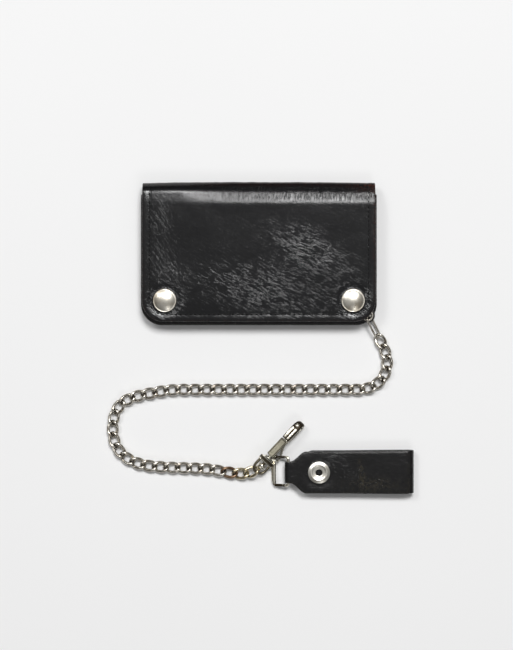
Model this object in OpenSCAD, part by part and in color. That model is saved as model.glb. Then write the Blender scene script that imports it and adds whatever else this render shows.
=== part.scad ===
// Chain wallet: a snap-shut leather wallet, a curb chain, a trigger clasp and a leather belt strap.
// The wallet lies on its back. The origin is the centre of the wallet's back face, +X to the
// wearer's right, +Y towards the fold, +Z out of the flap. Lengths are in millimetres.

/* [Wallet] */
// Width of the back half across its side seams
body_w = 151; // [148:0.5:154]
// Height from the bottom edge to the crown of the fold
body_h = 91; // [90:0.5:92]
// Thickness when snapped shut, without the snap caps
body_t = 14; // [14:0.1:15]
// Width of the front flap
flap_w = 148; // [146:0.5:150]
// How far the flap stops short of the bottom edge
flap_gap = 2.2; // [1:0.1:4]
// Radius of the bottom corners
corner_r = 13.5; // [10:0.5:14]
// Thickness of the outer leather
leather_t = 1.5; // [1.2:0.1:1.6]
// Thickness of the lining leather
lining_t = 0.6; // [0.4:0.1:0.6]
// Free height of the banknote compartment
bill_gap = 4.4; // [4.2:0.1:4.4]
// Distance from the flap's edge to its stitching
stitch_inset = 4.6; // [4:0.2:6]

/* [Snaps] */
// Diameter of the snap caps on the flap
cap_d = 15; // [13:0.5:16]
// Height of the snap cap's dome
cap_rise = 1.6; // [1.2:0.1:2]
// Distance of each snap from the wallet's centre line
snap_x = 59.7; // [58:0.1:61]
// Height of the snaps, measured from the wallet's centre
snap_y = -29.7; // [-31:0.1:-28]

/* [Pockets] */
// Width of the card pockets
card_w = 96; // [92:1:98]
// Step from one card pocket's mouth to the next
card_step = 10; // [8:0.5:12]
// Length of the coin pocket's zip
zip_l = 112; // [100:2:116]
// Height of the zip line, measured from the wallet's centre
zip_y = 23; // [20:0.5:26]

/* [Chain] */
// Wire diameter of a curb link
wire_d = 1.95; // [1.9:0.05:2]
// Half the length of a link's centre line
link_a = 4.8; // [4.8:0.02:4.84]
// Half the width of a link's centre line
link_b = 2.9; // [2.85:0.05:3.05]
// Twist of each end of a link
link_twist = 45; // [40:1:50]
// Distance from one link to the next
pitch = 7.38; // [7.36:0.01:7.4]

/* [Clasp] */
// Diameter of the clasp's collar
collar_d = 6.2; // [5.8:0.1:6.4]
// Width of the clasp's nose and gate
nose_w = 5.2; // [4.6:0.1:5.6]
// Length from the collar's middle to the tip
clasp_l = 33; // [31:0.5:34]
// Lean of the clasp from upright
clasp_lean = 20; // [18:1:22]

/* [Strap] */
// Length of the belt strap, folded
strap_l = 81; // [76:1:84]
// Width of the belt strap
strap_w = 27; // [25:0.5:29]
// Width of the neck that holds the strap ring
neck_w = 14; // [12:0.5:14]
// Clear height inside the belt loop
loop_gap = 4.3; // [4.2:0.1:4.4]
// Diameter of the strap's snap
strap_snap_d = 14; // [12:0.5:15]

/* [Hidden] */
$fn = 48;
fit = 0.05;

// Wallet layers, from the back face up
y_bot = -body_h / 2;
fold_r = body_t / 2;
y_fold = body_h / 2 - fold_r;
z_lining = leather_t;
z_bill = z_lining + lining_t;
z_panel = z_bill + bill_gap;
z_coin = z_panel + lining_t;
coin_gap = 0.8;
z_front = z_coin + coin_gap;
z_card = z_front + 0.7;
card_t = 0.6;
pocket_r = 4;
thumb_r = 5;
z_flap = body_t - leather_t;
flap_bot = y_bot + flap_gap;
seam_w = 5;
zip_half = 4.2;

// Corner tab and the ring that the chain hangs from
tab_t = 1.4;
tab_r = 4.6;
tab_l = 8;
eyelet = [69.4, -39.4, z_panel - tab_t / 2];
eyelet_r = 2.3;
eyelet_flange = 3.6;
ring_wire = 1.3;
ring_half_w = 2.7;
ring_tilt = -52;
notch_r = 8.5;

// Chain route: [heading of the links, how many], from the wallet's ring to the clasp
chain_start = [76.2, -52.6, 3.3];
chain_z = 2.3;
route = [[-62, 1], [-70, 1], [-90, 1], [-115, 1], [-140, 1], [-165, 1], [-180, 16], [-176, 1],
         [-170, 2], [-165, 1], [-155, 1], [-126, 1], [-102, 1], [-90, 1], [-75, 1], [-55, 1],
         [-33, 1], [-18, 1], [-8, 1], [-4, 1], [-2, 3], [-5, 1], [-10, 2], [0, 1], [20, 1]];
headings = [for (run = route) for (i = [1:run[1]]) run[0]];
links = len(headings);
first_dip = -asin((chain_start[2] - chain_z) / pitch);
rise = [7, 14];
pitches = [for (i = [0:links - 1])
    i == 0 ? first_dip : i == links - 2 ? rise[0] : i == links - 1 ? rise[1] : 0];
rolls = [for (i = [0:links - 1]) i == links - 1 ? -12 : 0];
function step(i) = pitch * [cos(headings[i]) * cos(pitches[i]), sin(headings[i]) * cos(pitches[i]),
                            sin(pitches[i])];
function ends(i = 0, at = chain_start) = i == links ? [at] : concat([at], ends(i + 1, at + step(i)));
chain_ends = ends();
group = 3;
groups = ceil(links / group);

// Clasp, in its own frame: s along the clasp from the collar, z up from its axis
clasp_at = [5.2, -131.7, 4.8];
clasp_heading = 47;
eye_wire = 1.7;
eye_r = 4.4;
eye_far = -10.4;
eye_roll = -24;
pin_r = 1.5;
pin_s = -5;
head_s = -6.8;
head_r = 2.6;
collar_s = 1.4;
collar_t = 1.2;
spine_z = -4.2;
nose_z = 2.2;
gate_pivot = [5.2, 0.6];
gate_pin_r = 0.6;
gate_tip = 18;
gate_back = 3.6;
gate_ear = 1.1;
tongue_w = 2.4;

// Strap ring and strap
ring_d = 1.8;
ring_corner_r = 1.2;
ring_x0 = 10;
ring_y0 = -129.8;
ring_w = 9.5;
ring_h = 18;
ring_z0 = 1.9;
ring_slope = 23;
bar_x = ring_x0 + ring_w * cos(ring_slope);
bar_z = ring_z0 + ring_w * sin(ring_slope);
neck_shift = 0.6;
strap_y = ring_y0 - ring_h / 2 - neck_shift;
strap_t = 1.4;
strap_low = 1;
strap_top = strap_low + 2 * strap_t + loop_gap;
strap_x0 = 18;
strap_x1 = strap_x0 + strap_l;
fold_out = (strap_top - strap_low) / 2;
fold_z = strap_low + fold_out;
fold_x = strap_x1 - fold_out;
strap_snap_x = 38.3;

body_names = ["back_panel", "back_lining", "edge_welt", "inner_panel", "coin_gusset", "coin_front",
    "zip_tapes", "zip_teeth", "zip_stops", "card_pocket_back", "card_pocket_middle",
    "card_pocket_front", "snap_studs", "ring_tab", "ring_eyelet", "body_stitching"];
move_names = ["zip_slider", "zip_pull", "spine_leather"];
flap_names = ["flap_cover", "flap_lining", "flap_pocket", "snap_cap_left", "snap_cap_right",
    "snap_sockets", "flap_stitching"];
chain_names = [for (g = [1:groups]) str("chain_", g < 10 ? "0" : "", g)];
clasp_names = ["wallet_ring", "swivel_eye", "clasp_hook", "clasp_gate", "gate_pin", "gate_spring"];
strap_names = ["strap_ring", "strap_leather", "strap_return", "strap_fold", "strap_tail",
    "strap_snap_ring", "strap_socket", "strap_stud", "strap_cap"];

leather_black = [0.07, 0.07, 0.07];
lining_black = [0.13, 0.12, 0.12];
nickel = [0.75, 0.73, 0.68];
brass_dark = [0.45, 0.42, 0.35];

// ---- shared shapes ----

// A panel outline with a square top and rounded bottom corners
module panel(w, bottom, top, r) {
    translate([-w / 2, bottom + r]) square([w, top - bottom - r]);
    translate([-w / 2 + r, bottom]) square([w - 2 * r, r + 1]);
    for (side = [-1, 1]) translate([side * (w / 2 - r), bottom + r]) circle(r);
}

// The clearance that every layer but the tab leaves around the corner ring
module corner_notch() {
    translate([eyelet[0], eyelet[1]]) circle(notch_r);
}

// A flat layer from z, of thickness t
module layer(z, t) {
    translate([0, 0, z]) linear_extrude(t) children();
}

// The U of a seam that runs down one side, along the bottom and up the other
module seam(w, bottom, top, r, inset, wide) {
    difference() {
        panel(w - 2 * inset, bottom + inset, top, r - inset);
        panel(w - 2 * inset - 2 * wide, bottom + inset + wide, top + 1, r - inset - wide);
    }
}

function unit(v) = v / norm(v);

// A ring of points around p, in the plane of u and v
function around(p, u, v, ru, rv, n) =
    [for (i = [0:n - 1]) let (a = 360 * (i + 0.5) / n) p + ru * cos(a) * u + rv * sin(a) * v];

// Faces of one tube of m rings with n points each, whose points start at first
function tube_faces(m, n, closed, first = 0) = concat(
    [for (i = [0:m - (closed ? 1 : 2)], k = [0:n - 1], half = [0, 1])
        let (j = (i + 1) % m, l = (k + 1) % n, a = first + i * n, b = first + j * n)
        half == 0 ? [a + k, b + k, b + l] : [a + k, b + l, a + l]],
    closed ? [] : [[for (k = [0:n - 1]) first + k],
                   [for (k = [n - 1:-1:0]) first + (m - 1) * n + k]]);

// Turn a point by roll r, pitch p and heading h, then move it to c
function placed(q, c, h, p, r) = let (
    y = q[1] * cos(r) - q[2] * sin(r),
    w = q[1] * sin(r) + q[2] * cos(r),
    x = q[0] * cos(p) - w * sin(p),
    z = q[0] * sin(p) + w * cos(p))
    c + [x * cos(h) - y * sin(h), x * sin(h) + y * cos(h), z];

// Centre line of a curb link: an oval with full sides, twisted along its length
oval_power = 2 / 2.4;
function rounded(v) = sign(v) * pow(abs(v), oval_power);
function link_centre(t) = let (
    x = link_a * rounded(cos(t)),
    y = link_b * rounded(sin(t)),
    turn = -link_twist * x / link_a)
    [x, y * cos(turn), y * sin(turn)];

link_steps = 20;
link_sides = 6;
function link_ring(i) = let (
    t = 360 / link_steps,
    p = link_centre(i * t),
    along = unit(link_centre((i + 1) * t) - link_centre((i - 1) * t)),
    out = unit(p - (p * along) * along))
    around(p, out, cross(along, out), wire_d / 2, wire_d / 2, link_sides);
link_rings = [for (i = [0:link_steps - 1]) link_ring(i)];

// A run of links, from number first to number last
module link_run(first, last) {
    points = [for (i = [first:last])
        let (c = (chain_ends[i] + chain_ends[i + 1]) / 2)
        for (ring = link_rings) for (q = ring) placed(q, c, headings[i], pitches[i], rolls[i])];
    faces = [for (i = [0:last - first])
        each tube_faces(link_steps, link_sides, true, i * link_steps * link_sides)];
    polyhedron(points, faces);
}

// A tube swept along an open path, with its widths measured along the across direction
module swept(path, widths, heights, across, sides = 8) {
    last = len(path) - 1;
    rings = [for (i = [0:last]) let (
        along = unit(path[min(i + 1, last)] - path[max(i - 1, 0)]),
        up = unit(cross(along, across)))
        around(path[i], cross(up, along), up, widths[i] / 2, heights[i] / 2, sides)];
    polyhedron([for (ring = rings) each ring], tube_faces(last + 1, sides, false));
}

// ---- wallet, back half ----

module back_panel() {
    color(leather_black) layer(0, leather_t) panel(body_w, y_bot, y_fold, corner_r);
}

module back_lining() {
    color(lining_black) layer(z_lining, lining_t)
        panel(body_w - 3, y_bot + 1.5, y_fold - 1, corner_r - 1.5);
}

module edge_welt() {
    color(leather_black) difference() {
        layer(z_bill, bill_gap) seam(body_w, y_bot, y_fold - 1, corner_r, 0.5, seam_w);
        layer(z_bill - 1, bill_gap + 2) corner_notch();
        layer(z_panel - tab_t, 2) tab_outline();
    }
}

module inner_panel() {
    color(lining_black) layer(z_panel, lining_t) difference() {
        panel(body_w - 1, y_bot + 0.5, y_fold - 1, corner_r - 0.5);
        corner_notch();
    }
}

module coin_gusset() {
    color(lining_black) layer(z_coin, coin_gap) difference() {
        seam(body_w, y_bot, y_fold - 1.5, corner_r, 0.5, seam_w);
        corner_notch();
    }
}

module coin_front() {
    color(leather_black) layer(z_front, z_card - z_front) difference() {
        panel(body_w - 1, y_bot + 0.5, y_fold - 1, corner_r - 0.5);
        corner_notch();
        translate([-zip_l / 2, zip_y - zip_half]) square([zip_l, 2 * zip_half]);
    }
}

module zip_tapes() {
    tape_w = 9;
    tape_t = 0.4;
    color(lining_black) for (side = [-1, 1])
        translate([-zip_l / 2 - 4, zip_y + (side > 0 ? 0.2 : -0.2 - tape_w), z_front - tape_t])
            cube([zip_l + 8, tape_w, tape_t]);
}

tooth_pitch = 2;
tooth_count = floor((zip_l - 8) / tooth_pitch / 2);

module zip_teeth() {
    color(brass_dark) for (i = [0:tooth_count - 1], side = [-1, 1])
        translate([-zip_l / 2 + 4 + tooth_pitch * (2 * i + (side > 0 ? 1 : 0)),
                   zip_y + (side > 0 ? -0.4 : -2), z_front])
            cube([tooth_pitch * 0.8, 2.4, 0.9]);
}

module zip_stops() {
    color(brass_dark) for (x = [-zip_l / 2 + 1, zip_l / 2 - 2.5])
        translate([x, zip_y - 2.2, z_front]) cube([1.5, 4.4, 1.2]);
}

slider_x = zip_l / 2 - 9;
post_r = 0.8;

module zip_slider() {
    color(brass_dark) translate([slider_x, zip_y, 0]) {
        difference() {
            translate([-4, -3, z_front + 0.15]) cube([8, 6, 1.5]);
            translate([-5, -2.4, z_front]) cube([10, 4.8, 1.1]);
        }
        translate([0, 0, z_front + 1.6]) cylinder(h = 0.9, r = post_r);
    }
}

module zip_pull() {
    pull_l = 13;
    pull_w = 3.2;
    pull_t = 0.7;
    color(brass_dark) translate([slider_x, zip_y, z_front + 1.7]) difference() {
        union() {
            cylinder(h = pull_t, r = 2.2);
            translate([-pull_l, -pull_w / 2, 0]) cube([pull_l, pull_w, pull_t]);
            translate([-pull_l, 0, 0]) cylinder(h = pull_t, r = 2.4);
        }
        translate([0, 0, -1]) cylinder(h = pull_t + 2, r = post_r + fit);
        translate([-pull_l, 0, -1]) cylinder(h = pull_t + 2, r = 1.1);
    }
}

// A card pocket: one sheet, its mouth at top, lying at level number lift
module card_sheet(top, lift) {
    color(lining_black) layer(z_card + lift * card_t, card_t) difference() {
        panel(card_w, y_bot + 5, top, pocket_r);
        for (side = [-1, 1]) translate([side * card_w / 4, top]) circle(thumb_r);
    }
}

card_top = zip_y - 11;

module card_pocket_back() { card_sheet(card_top, 0); }
module card_pocket_middle() { card_sheet(card_top - card_step, 1); }
module card_pocket_front() { card_sheet(card_top - 2 * card_step, 2); }

module snap_studs() {
    color(nickel) for (side = [-1, 1]) translate([side * snap_x, snap_y, 0]) {
        translate([0, 0, z_card]) cylinder(h = 0.5, r = 5);
        translate([0, 0, z_card + 0.5]) cylinder(h = 1, r = 2.7);
        translate([0, 0, z_card + 1.5]) cylinder(h = 0.8, r1 = 3.2, r2 = 2.8);
    }
}

// The tab runs from the corner of the stack out to the eyelet
module tab_outline() {
    hull() for (back = [0, tab_l]) translate([eyelet[0] - back, eyelet[1] + back]) circle(tab_r);
}

module ring_tab() {
    color(leather_black) layer(z_panel - tab_t, tab_t) difference() {
        tab_outline();
        translate([eyelet[0], eyelet[1]]) circle(eyelet_r + 0.3);
    }
}

module ring_eyelet() {
    flange_t = 0.3;
    color(nickel) translate([eyelet[0], eyelet[1], z_panel - tab_t - flange_t]) difference() {
        union() {
            cylinder(h = tab_t + 2 * flange_t, r = eyelet_r + 0.3);
            cylinder(h = flange_t, r = eyelet_flange);
            translate([0, 0, tab_t + flange_t]) cylinder(h = flange_t, r = eyelet_flange);
        }
        translate([0, 0, -1]) cylinder(h = tab_t + 3, r = eyelet_r);
    }
}

module body_stitching() {
    color(leather_black) layer(z_card, 0.25) difference() {
        seam(body_w, y_bot, y_fold - 2, corner_r, 3, 0.6);
        corner_notch();
    }
}

// ---- wallet, fold and flap ----

module spine_leather() {
    color(leather_black) translate([-flap_w / 2, y_fold, fold_r]) rotate([90, 0, 90])
        linear_extrude(flap_w) difference() {
            circle(fold_r);
            circle(fold_r - leather_t);
            translate([-2 * fold_r, -fold_r - 1]) square([2 * fold_r, body_t + 2]);
        }
}

module flap_cover() {
    color(leather_black) layer(z_flap, leather_t) panel(flap_w, flap_bot, y_fold, corner_r);
}

module flap_lining() {
    color(lining_black) layer(z_flap - lining_t, lining_t)
        panel(flap_w - 2, flap_bot + 1, y_fold - 0.5, corner_r - 1);
}

module flap_pocket() {
    color(lining_black) layer(z_flap - 2 * lining_t, lining_t)
        panel(card_w, flap_bot + 4, zip_y - 13, pocket_r);
}

// A snap cap: a shallow dome on a thin rim
module snap_cap() {
    dome_r = (cap_d * cap_d / 4 + cap_rise * cap_rise) / (2 * cap_rise);
    intersection() {
        translate([0, 0, cap_rise - dome_r]) sphere(dome_r, $fn = 96);
        cylinder(h = cap_rise + 1, r = cap_d / 2);
    }
}

module snap_cap_left() {
    color(nickel) translate([-snap_x, snap_y, body_t]) snap_cap();
}

module snap_cap_right() {
    color(nickel) translate([snap_x, snap_y, body_t]) snap_cap();
}

module snap_sockets() {
    socket_t = 2.2;
    color(nickel) for (side = [-1, 1])
        translate([side * snap_x, snap_y, z_flap - lining_t - socket_t]) difference() {
            cylinder(h = socket_t, r = 6);
            translate([0, 0, -1]) cylinder(h = socket_t + 0.6, r = 3.5);
        }
}

module flap_stitching() {
    color(leather_black) layer(body_t, 0.25)
        seam(flap_w, flap_bot, y_fold, corner_r, stitch_inset, 0.7);
}

// ---- ring and chain ----

// The wallet ring: an oval of round wire from the eyelet's bore to the first link
module wallet_ring() {
    reach = chain_start - eyelet;
    far = norm(reach) + 0.7;
    straight = far - 2 * ring_half_w;
    steps = 8;
    centre = [for (side = [0, 1], i = [0:steps])
        let (a = -90 + 180 * i / steps + 180 * side, x = side == 0 ? far - ring_half_w : ring_half_w)
        [x + ring_half_w * cos(a), ring_half_w * sin(a), 0]];
    count = len(centre);
    rings = [for (i = [0:count - 1]) let (
        along = unit(centre[(i + 1) % count] - centre[(i + count - 1) % count]))
        around(centre[i], [0, 0, 1], cross(along, [0, 0, 1]), ring_wire / 2, ring_wire / 2, 8)];
    color(nickel) translate(eyelet)
        rotate([0, -asin(reach[2] / norm(reach)), atan2(reach[1], reach[0])])
            rotate([ring_tilt, 0, 0])
                polyhedron([for (r = rings) each r], tube_faces(count, 8, true));
}

module chain_links(g) {
    color(nickel) link_run(group * g, min(group * g + group, links) - 1);
}

// ---- clasp ----

module in_clasp(lean = 0) {
    translate(clasp_at) rotate([0, 0, clasp_heading]) rotate([-lean, 0, 0]) children();
}

// Stand things on the clasp's length, starting s along it
module turned(s) {
    translate([s, 0, 0]) rotate([0, 90, 0]) children();
}

// The swivel eye: a drilled crossbar and a D of wire that the last link sits in
module swivel_eye() {
    bar_back = -2.3;
    bar_front = 1.2;
    bar_t = 3.2;
    bar_half = eye_r + 1.2;
    chamfer = [1.6, 1];
    loop_s = eye_far + eye_r;
    color(nickel) in_clasp(eye_roll) {
        difference() {
            translate([0, 0, -bar_t / 2]) linear_extrude(bar_t) polygon([
                [bar_back, -bar_half], [bar_front - chamfer[0], -bar_half],
                [bar_front, chamfer[1] - bar_half], [bar_front, bar_half - chamfer[1]],
                [bar_front - chamfer[0], bar_half], [bar_back, bar_half]]);
            turned(bar_back - 1) cylinder(h = bar_front - bar_back + 2, r = pin_r + fit);
        }
        for (side = [-1, 1]) translate([0, side * eye_r, 0]) turned(loop_s)
            cylinder(h = bar_back - loop_s + 0.5, r = eye_wire / 2);
        translate([loop_s, 0, 0]) rotate([0, 0, 90]) rotate_extrude(angle = 180)
            translate([eye_r, 0]) circle(eye_wire / 2);
    }
}

// Path of the hook from the collar's rim, down its spine on one side and round the nose
hook_r = (nose_z - spine_z) / 2;
hook_mid = (nose_z + spine_z) / 2;
hook_path = concat(
    [[2, -1.4, -1], [3, -3, -1.6], [3.9, -4.2, -2.4], [4.6, -4.5, -3.6], [5.2, -4.2, -4.6],
     [6.2, -3.8, -4.9], [7.8, -3.2, -4.9], [11, -1.6, -4.4], [15, 0, spine_z], [20, 0, spine_z]],
    [for (a = [-90:18:90]) [clasp_l - 1.2 - hook_r + hook_r * cos(a), 0, hook_mid + hook_r * sin(a)]],
    [[25, 0, nose_z], [21, 0, nose_z], [gate_tip - 0.2, 0, nose_z]]);
hook_w = concat([1.5, 1.5, 1.5, 1.4, 1.4, 1.4, 1.4, 1.7, 2.4, 3.6],
    [for (i = [0:10]) 4 + (nose_w - 4) * i / 10], [nose_w, nose_w, nose_w]);
hook_t = concat([1.5, 1.4, 1.4, 1.4, 1.4, 1.4, 1.4, 1.4, 1.6, 2], [for (i = [0:10]) 2.2], [2, 1.8, 1.6]);

module clasp_hook() {
    color(nickel) in_clasp(clasp_lean) {
        swept(hook_path, hook_w, hook_t, [0, 1, 0]);
        difference() {
            union() {
                turned(collar_s) cylinder(h = collar_t - 0.4, r = collar_d / 2);
                turned(collar_s) cylinder(h = collar_t, r = collar_d / 2 - 0.4);
                translate([collar_s + 0.6, -tongue_w / 2, -1.6])
                    cube([gate_pivot[0] - collar_s - 0.6, tongue_w, 3.2]);
                translate([gate_pivot[0], tongue_w / 2, gate_pivot[1]]) rotate([90, 0, 0])
                    cylinder(h = tongue_w, r = 1);
            }
            translate([gate_pivot[0], tongue_w, gate_pivot[1]]) rotate([90, 0, 0])
                cylinder(h = 2 * tongue_w, r = gate_pin_r);
        }
        turned(pin_s) cylinder(h = collar_s - pin_s + 0.1, r = pin_r);
        turned(head_s) cylinder(h = pin_s - head_s + 0.1, r = head_r);
    }
}

module clasp_gate() {
    color(brass_dark) in_clasp(clasp_lean) difference() {
        union() {
            translate([gate_back, -nose_w / 2, nose_z - 0.5])
                cube([gate_tip - 0.6 - gate_back, nose_w, 1]);
            for (side = [-1, 1])
                translate([gate_back, side * (nose_w - gate_ear) / 2 - gate_ear / 2, -0.6])
                    cube([3.2, gate_ear, 3]);
        }
        translate([gate_pivot[0], nose_w, gate_pivot[1]]) rotate([90, 0, 0])
            cylinder(h = 2 * nose_w, r = gate_pin_r + fit);
    }
}

module gate_pin() {
    color(nickel) in_clasp(clasp_lean)
        translate([gate_pivot[0], nose_w / 2 + 0.2, gate_pivot[1]]) rotate([90, 0, 0])
            cylinder(h = nose_w + 0.4, r = gate_pin_r);
}

// The leaf spring under the gate, from the collar's tongue to the gate's underside
module gate_spring() {
    color(nickel) in_clasp(clasp_lean)
        translate([6.7, -0.6, -0.2]) rotate([0, -14, 0]) cube([6, 1.2, 0.25]);
}

// ---- strap ring and strap ----

// Place things in the ring's tilted plane, with the origin at its low top corner
module in_ring() {
    translate([ring_x0, ring_y0, ring_z0]) rotate([0, -ring_slope, 0]) children();
}

module strap_ring() {
    r = ring_corner_r;
    color(nickel) in_ring() {
        for (x = [0, ring_w]) translate([x, -r, 0]) rotate([90, 0, 0])
            cylinder(h = ring_h - 2 * r, r = ring_d / 2);
        for (y = [0, -ring_h]) translate([r, y, 0]) rotate([0, 90, 0])
            cylinder(h = ring_w - 2 * r, r = ring_d / 2);
        for (corner = [[ring_w - r, -r, 0], [r, -r, 90], [r, r - ring_h, 180],
                       [ring_w - r, r - ring_h, 270]])
            translate([corner[0], corner[1], 0]) rotate([0, 0, corner[2]])
                rotate_extrude(angle = 90) translate([r, 0]) circle(ring_d / 2);
    }
}

// Outline of the strap from above: a neck that flares in an S curve into the full width
module strap_outline(x1) {
    shoulder_x = bar_x + 1;
    shoulder = 10.5;
    flare = (strap_w - neck_w) / 2;
    curve = [for (i = [0:8]) [shoulder_x + shoulder * i / 8,
                              neck_w / 2 + flare * (1 - cos(180 * i / 8)) / 2]];
    upper = concat([[bar_x - 4, neck_w / 2]], curve, [[x1, strap_w / 2]]);
    last = len(upper) - 1;
    translate([0, strap_y])
        polygon(concat(upper, [for (i = [last:-1:0]) [upper[i][0], -upper[i][1]]]));
}

wrap_in = ring_d / 2 + 0.15;
wrap_out = wrap_in + strap_t;
flat_x = bar_x + 9;
return_z = strap_top - 2 * strap_t - fit;

// Extrude a side profile, drawn in x and z, across the strap
module across_strap(w) {
    translate([0, strap_y + w / 2, 0]) rotate([90, 0, 0]) linear_extrude(w) children();
}

// The top layer: it runs flat from the fold, dips to the ring's bar and goes round it
module strap_leather() {
    top_in = strap_top - strap_t;
    outside = [for (a = [270:-15:90]) [bar_x + wrap_out * cos(a), bar_z + wrap_out * sin(a)]];
    inside = [for (a = [90:15:270]) [bar_x + wrap_in * cos(a), bar_z + wrap_in * sin(a)]];
    color(leather_black) intersection() {
        across_strap(strap_w) polygon(concat(outside,
            [[flat_x, strap_top], [fold_x, strap_top], [fold_x, top_in], [flat_x, top_in]], inside));
        layer(0, 20) strap_outline(fold_x);
    }
}

// The end that comes back under the top layer and is held by the snap
module strap_return() {
    x1 = strap_snap_x + 9;
    color(leather_black) intersection() {
        across_strap(strap_w)
            polygon([[bar_x + 0.05, bar_z - wrap_out], [flat_x, return_z], [x1, return_z],
                     [x1, return_z + strap_t], [flat_x, return_z + strap_t],
                     [bar_x + 0.05, bar_z - wrap_in]]);
        layer(0, 20) strap_outline(x1);
    }
}

module strap_fold() {
    color(leather_black) across_strap(strap_w) translate([fold_x, fold_z]) difference() {
        circle(fold_out);
        circle(fold_out - strap_t);
        translate([-2 * fold_out, -fold_out - 1]) square([2 * fold_out, 2 * fold_out + 2]);
    }
}

module strap_tail() {
    end_x = strap_snap_x - 10;
    end_r = 6;
    color(leather_black) layer(strap_low, strap_t) translate([0, strap_y]) {
        translate([end_x + end_r, -strap_w / 2]) square([fold_x - end_x - end_r, strap_w]);
        translate([end_x, end_r - strap_w / 2]) square([end_r + 1, strap_w - 2 * end_r]);
        for (side = [-1, 1]) translate([end_x + end_r, side * (strap_w / 2 - end_r)]) circle(end_r);
    }
}

// The ring that clinches the snap's post, with an open middle
module strap_snap_ring() {
    color(nickel) translate([strap_snap_x, strap_y, strap_top]) difference() {
        union() {
            cylinder(h = 0.5, r = strap_snap_d / 2);
            cylinder(h = 0.9, r = strap_snap_d / 2 - 1.4);
        }
        translate([0, 0, 0.6]) cylinder(h = 1, r = strap_snap_d / 2 - 3);
        translate([0, 0, -1]) cylinder(h = 3, r = 2);
    }
}

module strap_socket() {
    socket_t = 1.7;
    color(nickel)
        translate([strap_snap_x, strap_y, return_z - socket_t]) difference() {
            cylinder(h = socket_t, r = 5.5);
            translate([0, 0, -1]) cylinder(h = socket_t + 2, r = 3.3);
        }
}

module strap_stud() {
    color(nickel) translate([strap_snap_x, strap_y, strap_low + strap_t]) {
        cylinder(h = 0.5, r = 5);
        translate([0, 0, 0.5]) cylinder(h = 1, r = 2.5);
        translate([0, 0, 1.5]) cylinder(h = 0.8, r1 = 3, r2 = 2.6);
    }
}

module strap_cap() {
    color(nickel) translate([strap_snap_x, strap_y, 0]) {
        cylinder(h = strap_low, r1 = strap_snap_d / 2 - 1, r2 = strap_snap_d / 2);
    }
}

// ---- drawing ----

back_panel();
back_lining();
edge_welt();
inner_panel();
coin_gusset();
coin_front();
zip_tapes();
zip_teeth();
zip_stops();
card_pocket_back();
card_pocket_middle();
card_pocket_front();
snap_studs();
ring_tab();
ring_eyelet();
body_stitching();
zip_slider();
zip_pull();
spine_leather();
flap_cover();
flap_lining();
flap_pocket();
snap_cap_left();
snap_cap_right();
snap_sockets();
flap_stitching();
wallet_ring();
for (g = [0:groups - 1])
    chain_links(g);
swivel_eye();
clasp_hook();
clasp_gate();
gate_pin();
gate_spring();
strap_ring();
strap_leather();
strap_return();
strap_fold();
strap_tail();
strap_snap_ring();
strap_socket();
strap_stud();
strap_cap();
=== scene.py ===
"""Chain wallet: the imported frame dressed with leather, thread, nickel and brass. Lengths here are in mm."""
import functools
import math

import bpy
import numpy as np
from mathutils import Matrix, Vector, noise
from mathutils.geometry import delaunay_2d_cdt


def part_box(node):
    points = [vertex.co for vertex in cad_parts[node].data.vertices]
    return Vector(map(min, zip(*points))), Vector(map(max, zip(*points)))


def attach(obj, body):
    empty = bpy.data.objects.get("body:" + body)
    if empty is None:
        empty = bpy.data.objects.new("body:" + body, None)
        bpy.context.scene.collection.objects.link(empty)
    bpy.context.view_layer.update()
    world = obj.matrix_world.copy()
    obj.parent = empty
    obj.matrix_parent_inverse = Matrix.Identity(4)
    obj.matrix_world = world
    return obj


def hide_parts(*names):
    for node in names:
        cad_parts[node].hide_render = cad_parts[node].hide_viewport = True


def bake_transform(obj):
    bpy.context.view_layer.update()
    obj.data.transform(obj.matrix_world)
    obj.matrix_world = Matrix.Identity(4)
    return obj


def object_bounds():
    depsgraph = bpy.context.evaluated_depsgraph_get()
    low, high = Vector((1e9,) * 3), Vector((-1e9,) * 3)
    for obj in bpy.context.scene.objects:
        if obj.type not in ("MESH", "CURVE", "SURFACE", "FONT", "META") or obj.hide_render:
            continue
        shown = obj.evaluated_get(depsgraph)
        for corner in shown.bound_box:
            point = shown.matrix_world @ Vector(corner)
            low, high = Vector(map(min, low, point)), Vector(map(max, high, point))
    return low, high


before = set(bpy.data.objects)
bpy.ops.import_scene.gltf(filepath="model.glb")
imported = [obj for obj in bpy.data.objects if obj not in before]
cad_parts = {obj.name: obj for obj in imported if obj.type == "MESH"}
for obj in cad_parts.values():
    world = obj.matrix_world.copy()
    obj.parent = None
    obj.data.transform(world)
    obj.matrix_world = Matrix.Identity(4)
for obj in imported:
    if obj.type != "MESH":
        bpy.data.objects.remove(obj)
cad_box = [list(v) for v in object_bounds()]
MM = 0.001


def cad(node):
    lo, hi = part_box(node)
    return np.array(lo) / MM, np.array(hi) / MM


# ---- camera, straight above ----
camera = bpy.data.objects.new("camera", bpy.data.cameras.new("camera"))
bpy.context.collection.objects.link(camera)
camera.data.lens = 100
camera.data.clip_end = 20
camera.location = (-0.0015, -0.0454, 1.1575)
bpy.context.scene.camera = camera

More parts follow.
